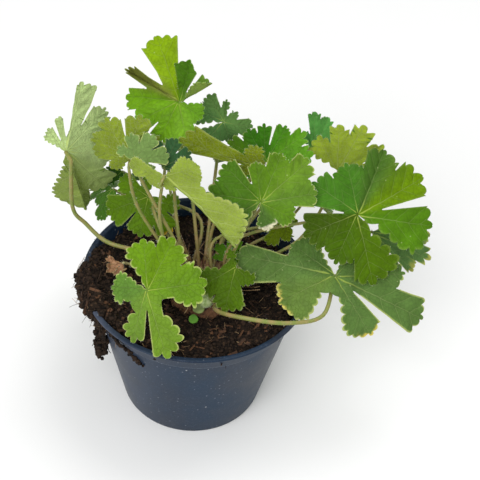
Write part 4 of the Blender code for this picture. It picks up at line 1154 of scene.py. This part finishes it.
def rim_spots(bm, layers):
    """Middle and outward way of each edge where the upper side of the sheet ends."""
    under = layers["under"]
    spots = []
    for edge in bm.edges:
        first, second = edge.verts
        ends = any(f.verts[0][under] + f.verts[-1][under] + f.verts[1][under] > 0.5
                   for f in edge.link_faces)
        if ends and first[under] < 0.5 and abs(first[under] - second[under]) < 0.5:
            out = sum((f.normal for f in edge.link_faces), Vector())
            spots.append(((first.co + second.co) / 2, out))
    return spots


def vein_group():
    """Mask of the midrib and the side veins of a lobe, from its own place on the lobe."""
    group = bpy.data.node_groups.new("leaf veins", "ShaderNodeTree")
    for name, way, kind in (("Place", "INPUT", "Vector"), ("Width", "INPUT", "Float"),
                            ("Main", "OUTPUT", "Float"), ("Side", "OUTPUT", "Float")):
        group.interface.new_socket(name, in_out=way, socket_type="NodeSocket" + kind)
    given = group.nodes.new("NodeGroupInput")
    made = group.nodes.new("NodeGroupOutput")
    part = add(group, "SeparateXYZ", s0=given.outputs["Place"])
    off = maths(group, "ABSOLUTE", part.outputs["X"])
    far = part.outputs["Y"]
    taper = times(group, given.outputs["Width"], maths(group, "SUBTRACT", 1.25, far))
    main = ramp(group, off, taper, times(group, taper, 0.3))
    bow = maths(group, "ADD", times(group, off, VEIN_BOW[0]),
                times(group, times(group, off, off), VEIN_BOW[1]))
    phase = maths(group, "DIVIDE", maths(group, "SUBTRACT", far, bow), VEIN_STEP)
    near = maths(group, "ABSOLUTE", maths(group, "SUBTRACT", maths(group, "FRACT", phase), 0.5))
    gap = times(group, maths(group, "SUBTRACT", 0.5, near), VEIN_STEP)
    thin = times(group, given.outputs["Width"], 0.75)
    side = ramp(group, gap, thin, times(group, thin, 0.3))
    side = times(group, side, ramp(group, off, 0.42, 0.12))
    side = times(group, side, ramp(group, far, 0.08, 0.2))
    group.links.new(main, made.inputs["Main"])
    group.links.new(side, made.inputs["Side"])
    return group


def leaf_mark(tree, mark, output="Fac"):
    return add(tree, "Attribute", dict(attribute_name=mark)).outputs[output]


def leaf_height(tree, main, side, net, under, grain):
    """The veins sink in above and stand out below, over a fine grain."""
    ridges = maths(tree, "MAXIMUM", main, times(tree, side, 0.7))
    ridges = maths(tree, "MAXIMUM", ridges, times(tree, net, 0.5))
    way = maths(tree, "SUBTRACT", times(tree, under, 2.2), 1.0)
    return maths(tree, "ADD", times(tree, ridges, way), times(tree, grain, 0.25))


def leaf_material(name, veins, top_pale, under_pale, glow):
    """Leaf tissue: its tint with paler veins and margin, soft mottling and light from behind."""
    mat, tree, place = new_finish(name, paint(90, 150, 40), 0.5, Specular_IOR_Level=0.1)
    tint = leaf_mark(tree, "tint", "Color")
    under, edge, rim = (leaf_mark(tree, mark) for mark in ("under", "edge", "rim"))
    lobe, sheet = (add(tree, "UVMap", dict(uv_map=uv)).outputs[0] for uv in ("lobe", "sheet"))
    warp = add(tree, "TexNoise", Vector=sheet, Scale=9.0, Detail=1.0).outputs["Color"]
    wavy = add(tree, "VectorMath", dict(operation="MULTIPLY_ADD"), s0=warp, s1=(0.03, 0.03, 0), s2=lobe)
    lines = add(tree, "Group", dict(node_tree=veins), Place=wavy.outputs[0], Width=VEIN_WIDTH)
    main, side = lines.outputs["Main"], lines.outputs["Side"]
    cells = add(tree, "TexVoronoi", dict(feature="DISTANCE_TO_EDGE", voronoi_dimensions="2D"),
                Vector=sheet, Scale=21.0, Randomness=0.85)
    net = ramp(tree, cells.outputs["Distance"], 0.10, 0.02)
    mottle = add(tree, "TexNoise", Vector=place, Scale=120.0, Detail=4.0, Roughness=0.6).outputs[0]
    grain = add(tree, "TexNoise", Vector=place, Scale=900.0, Detail=2.0).outputs[0]
    shade = add(tree, "MapRange", s0=mottle, s1=0.3, s2=0.7, s3=0.80, s4=1.16).outputs[0]
    grey = add(tree, "CombineColor", s0=shade, s1=shade, s2=shade).outputs[0]
    colour = mixed(tree, 1.0, tint, grey, "MULTIPLY")
    light = mixed(tree, 0.5, colour, paint(210, 224, 150))
    pale = maths(tree, "ADD", top_pale, times(tree, under, under_pale - top_pale))
    netted = times(tree, net, maths(tree, "ADD", 0.04, times(tree, under, 0.66)))
    strong = maths(tree, "MAXIMUM", maths(tree, "MAXIMUM", main, times(tree, side, 0.6)), netted)
    colour = mixed(tree, times(tree, strong, pale), colour, light)
    # The midribs run together in a yellow star at the hub.
    from_hub = ramp(tree, add(tree, "SeparateXYZ", s0=lobe).outputs["Y"], 0.38, 0.02)
    star = times(tree, times(tree, main, from_hub), 0.5)
    colour = mixed(tree, star, colour, paint(186, 204, 76))
    margin = times(tree, ramp(tree, edge, 0.86, 0.99), rim)
    colour = mixed(tree, times(tree, margin, 0.75), colour, paint(206, 214, 130))
    dots = specks(tree, place, 420.0, 0.2, 0.05)
    colour = mixed(tree, times(tree, dots, 0.35), colour, paint(214, 226, 160))
    dull = maths(tree, "ADD", mottle, times(tree, under, 0.4))
    gloss = add(tree, "MapRange", s0=dull, s1=0.3, s2=1.1, s3=0.42, s4=0.72).outputs[0]
    height = leaf_height(tree, main, side, net, under, grain)
    wear(tree, Base_Color=colour, Roughness=gloss, Normal=relief(tree, 0.8, 0.0005, height))
    behind = mixed(tree, 1.0, colour, paint(255, 255, 150), "MULTIPLY")
    through = add(tree, "BsdfTranslucent", Color=behind)
    both = add(tree, "MixShader", s0=glow, s1=tree.nodes["Principled BSDF"].outputs[0],
               s2=through.outputs[0])
    tree.links.new(both.outputs[0], tree.nodes["Material Output"].inputs["Surface"])
    return mat


veins = vein_group()
leaf_mat = leaf_material("leaf", veins, 0.3, 0.85, 0.25)
stalk_mat, tree, place = new_finish("leaf stalk", paint(142, 152, 84), 0.5, Specular_IOR_Level=0.4)
tint = leaf_mark(tree, "tint", "Color")
streak = add(tree, "TexNoise", Vector=place, Scale=260.0, Detail=3.0).outputs[0]
browned = mixed(tree, 0.45, tint, paint(176, 130, 96))
wear(tree, Base_Color=mixed(tree, ramp(tree, streak, 0.3, 0.75), tint, browned))
hair_mat, tree, place = new_finish("leaf hairs", paint(226, 232, 206), 0.6)
shift = add(tree, "TexNoise", Vector=place, Scale=300.0).outputs[0]
wear(tree, Base_Color=mixed(tree, shift, paint(206, 214, 180), paint(240, 244, 226)))
dead_mat = leaf_material("dead leaf", veins, 0.25, 0.3, 0.1)

STALK_SLOT, HAIR_SLOT = 1, 2
STALK_STEPS = 7
STALK_HAIRS_PER_MM = 1.6
MARGIN_HAIR_SHARE = 0.5
MARGIN_HAIR = (0.35, 0.8)
# The dead leaf is crumpled in broad and fine folds, each as (folds per mm, reach).
CRUMPLE = [(0.22, 2.0), (0.6, 0.8)]
LEAF_SEED = 100
SHEET_APART = 7.0
for number, (name, leaf) in enumerate(LEAVES.items()):
    look = LOOKS[name]
    is_dead = name == "dead_leaf"
    rng = random.Random(LEAF_SEED + number)
    bm, layers = blade(leaf, look, SHEET_APART * number)
    if is_dead:
        for v in bm.verts:
            v.co += sum((noise.noise_vector(v.co * rate) * reach for rate, reach in CRUMPLE), Vector())
    spots = rim_spots(bm, layers)
    points = stalk_points(leaf, STALK_STEPS)
    stalk_colours = look.get("base", STALK_BASE), look.get("stalk", STALK_GREEN)
    add_stalk(bm, layers, points, leaf.get("stalk_r", STALK_R), stalk_colours, STALK_SLOT)
    stalk_length = sum((b - a).length for a, b in zip(points, points[1:]))
    hairs_on_stalk(bm, points, int(stalk_length * STALK_HAIRS_PER_MM), HAIR_SLOT, rng)
    for spot, out in spots:
        if rng.random() < MARGIN_HAIR_SHARE and out.length > 0.1:
            hair(bm, spot, out.normalized(), rng.uniform(*MARGIN_HAIR), HAIR_SLOT)
    mats = [dead_mat if is_dead else leaf_mat, stalk_mat, hair_mat]
    ob = finish_mesh("fine_" + name, bm, mats, sharp=50)
    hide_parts(name)


# Dry stalks
# Two of last year's stalks still stand in the crown, tan and shrunken, broken off short.
DRY_STALKS = {
    "dry_stalk_1": ((2.5, -16.5, FOOT_Z), (1.0, -22.0, 101.0)),
    "dry_stalk_2": ((-1.4, -19.5, FOOT_Z), (-6.0, -27.0, 98.0)),
}
DRY_STALK_R = 1.0
DRY_STALK_STEPS = 8
for name, (foot, tip) in DRY_STALKS.items():
    foot, tip = Vector(foot), Vector(tip)
    line = [foot.lerp(tip, n / DRY_STALK_STEPS) + noise.noise_vector(foot + Vector((n, 0, 0))) * 0.3
            for n in range(DRY_STALK_STEPS + 1)]
    stalk = strands("fine_" + name, [line], DRY_STALK_R, straw_mat)
    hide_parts(name)


# Bud and sprouts
# A round pale-green bud in downy scales stands at the near edge of the crown, and two young
# leaves, still rolled up, lie beside it.
BUD_FOOT = Vector((7.2, -18.7, FOOT_Z))
BUD_AT = Vector((7.0, -24.0, 96.5))
BUD_R = 4.3
BUD_STEM_R = 1.1
BUD_HAIRS = 300
BUD_HAIR = (0.3, 0.7)
BUD_HAIR_SLOT = 1
BUD_SEED = 5

bud_mat, tree, place = new_finish("bud scales", paint(168, 190, 118), 0.6, Sheen_Weight=0.2)
patch = add(tree, "TexNoise", Vector=place, Scale=420.0, Detail=3.0).outputs[0]
wear(tree, Base_Color=mixed(tree, ramp(tree, patch, 0.35, 0.65), paint(146, 172, 96),
                            paint(190, 206, 146)))
bud_bm = bmesh.new()
bmesh.ops.create_uvsphere(bud_bm, u_segments=40, v_segments=24, radius=BUD_R)
stem = BUD_AT - BUD_FOOT
bud_turn = standing(stem.normalized())
for v in bud_bm.verts:
    around = math.atan2(v.co.y, v.co.x)
    rise = v.co.z / BUD_R
    v.co *= 1 - 0.05 * (0.5 + 0.5 * math.cos(5 * around + 2.2 * rise)) ** 4 + 0.02 * noise.noise(v.co)
bmesh.ops.transform(bud_bm, matrix=Matrix.Translation(BUD_AT) @ bud_turn, verts=bud_bm.verts)
rng = random.Random(BUD_SEED)
bmesh.ops.create_cone(bud_bm, cap_ends=True, segments=12, radius1=BUD_STEM_R, radius2=BUD_STEM_R,
                      depth=stem.length, matrix=Matrix.Translation(BUD_FOOT + stem / 2) @ bud_turn)
skin = [(v.co.copy(), (v.co - BUD_AT).normalized()) for v in bud_bm.verts
        if (v.co - BUD_AT).length > BUD_R * 0.8]
for spot, out in rng.sample(skin, BUD_HAIRS):
    hair(bud_bm, spot - out * 0.1, (out + Vector((0, 0, 0.2))).normalized(), rng.uniform(*BUD_HAIR),
         BUD_HAIR_SLOT)
bud = finish_mesh("fine_bud", bud_bm, [bud_mat, hair_mat])
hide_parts("bud")

# Each sprout as its place, its radius and its green.
SPROUTS = [((0.6, -29.5, 86.5), 2.6, (96, 150, 50)), ((3.0, -25.0, 91.0), 3.2, (150, 170, 100))]
for k, (centre, radius, green) in enumerate(SPROUTS):
    roll_bm = bmesh.new()
    bmesh.ops.create_circle(roll_bm, cap_ends=True, segments=24, radius=radius)
    bmesh.ops.inset_region(roll_bm, faces=roll_bm.faces[:], thickness=radius * 0.35,
                           depth=-radius * 0.2)
    bmesh.ops.inset_region(roll_bm, faces=[f for f in roll_bm.faces if len(f.verts) > 4],
                           thickness=radius * 0.25, depth=radius * 0.12)
    bmesh.ops.solidify(roll_bm, geom=roll_bm.faces[:], thickness=1.2)
    bmesh.ops.recalc_face_normals(roll_bm, faces=roll_bm.faces)
    for v in roll_bm.verts:
        v.co += noise.noise_vector(v.co * 0.5 + Vector((k * 5, 0, 0))) * 0.35
    place = Matrix.Translation(Vector(centre)) @ standing(Vector((0, -0.5, 0.85)))
    bmesh.ops.transform(roll_bm, matrix=place, verts=roll_bm.verts)
    roll_mat = strand_material("young leaf %d" % (k + 1), paint(*[c * 0.75 for c in green]), paint(*green))
    roll = finish_mesh("young_leaf_%d" % (k + 1), roll_bm, [roll_mat], sharp=50)
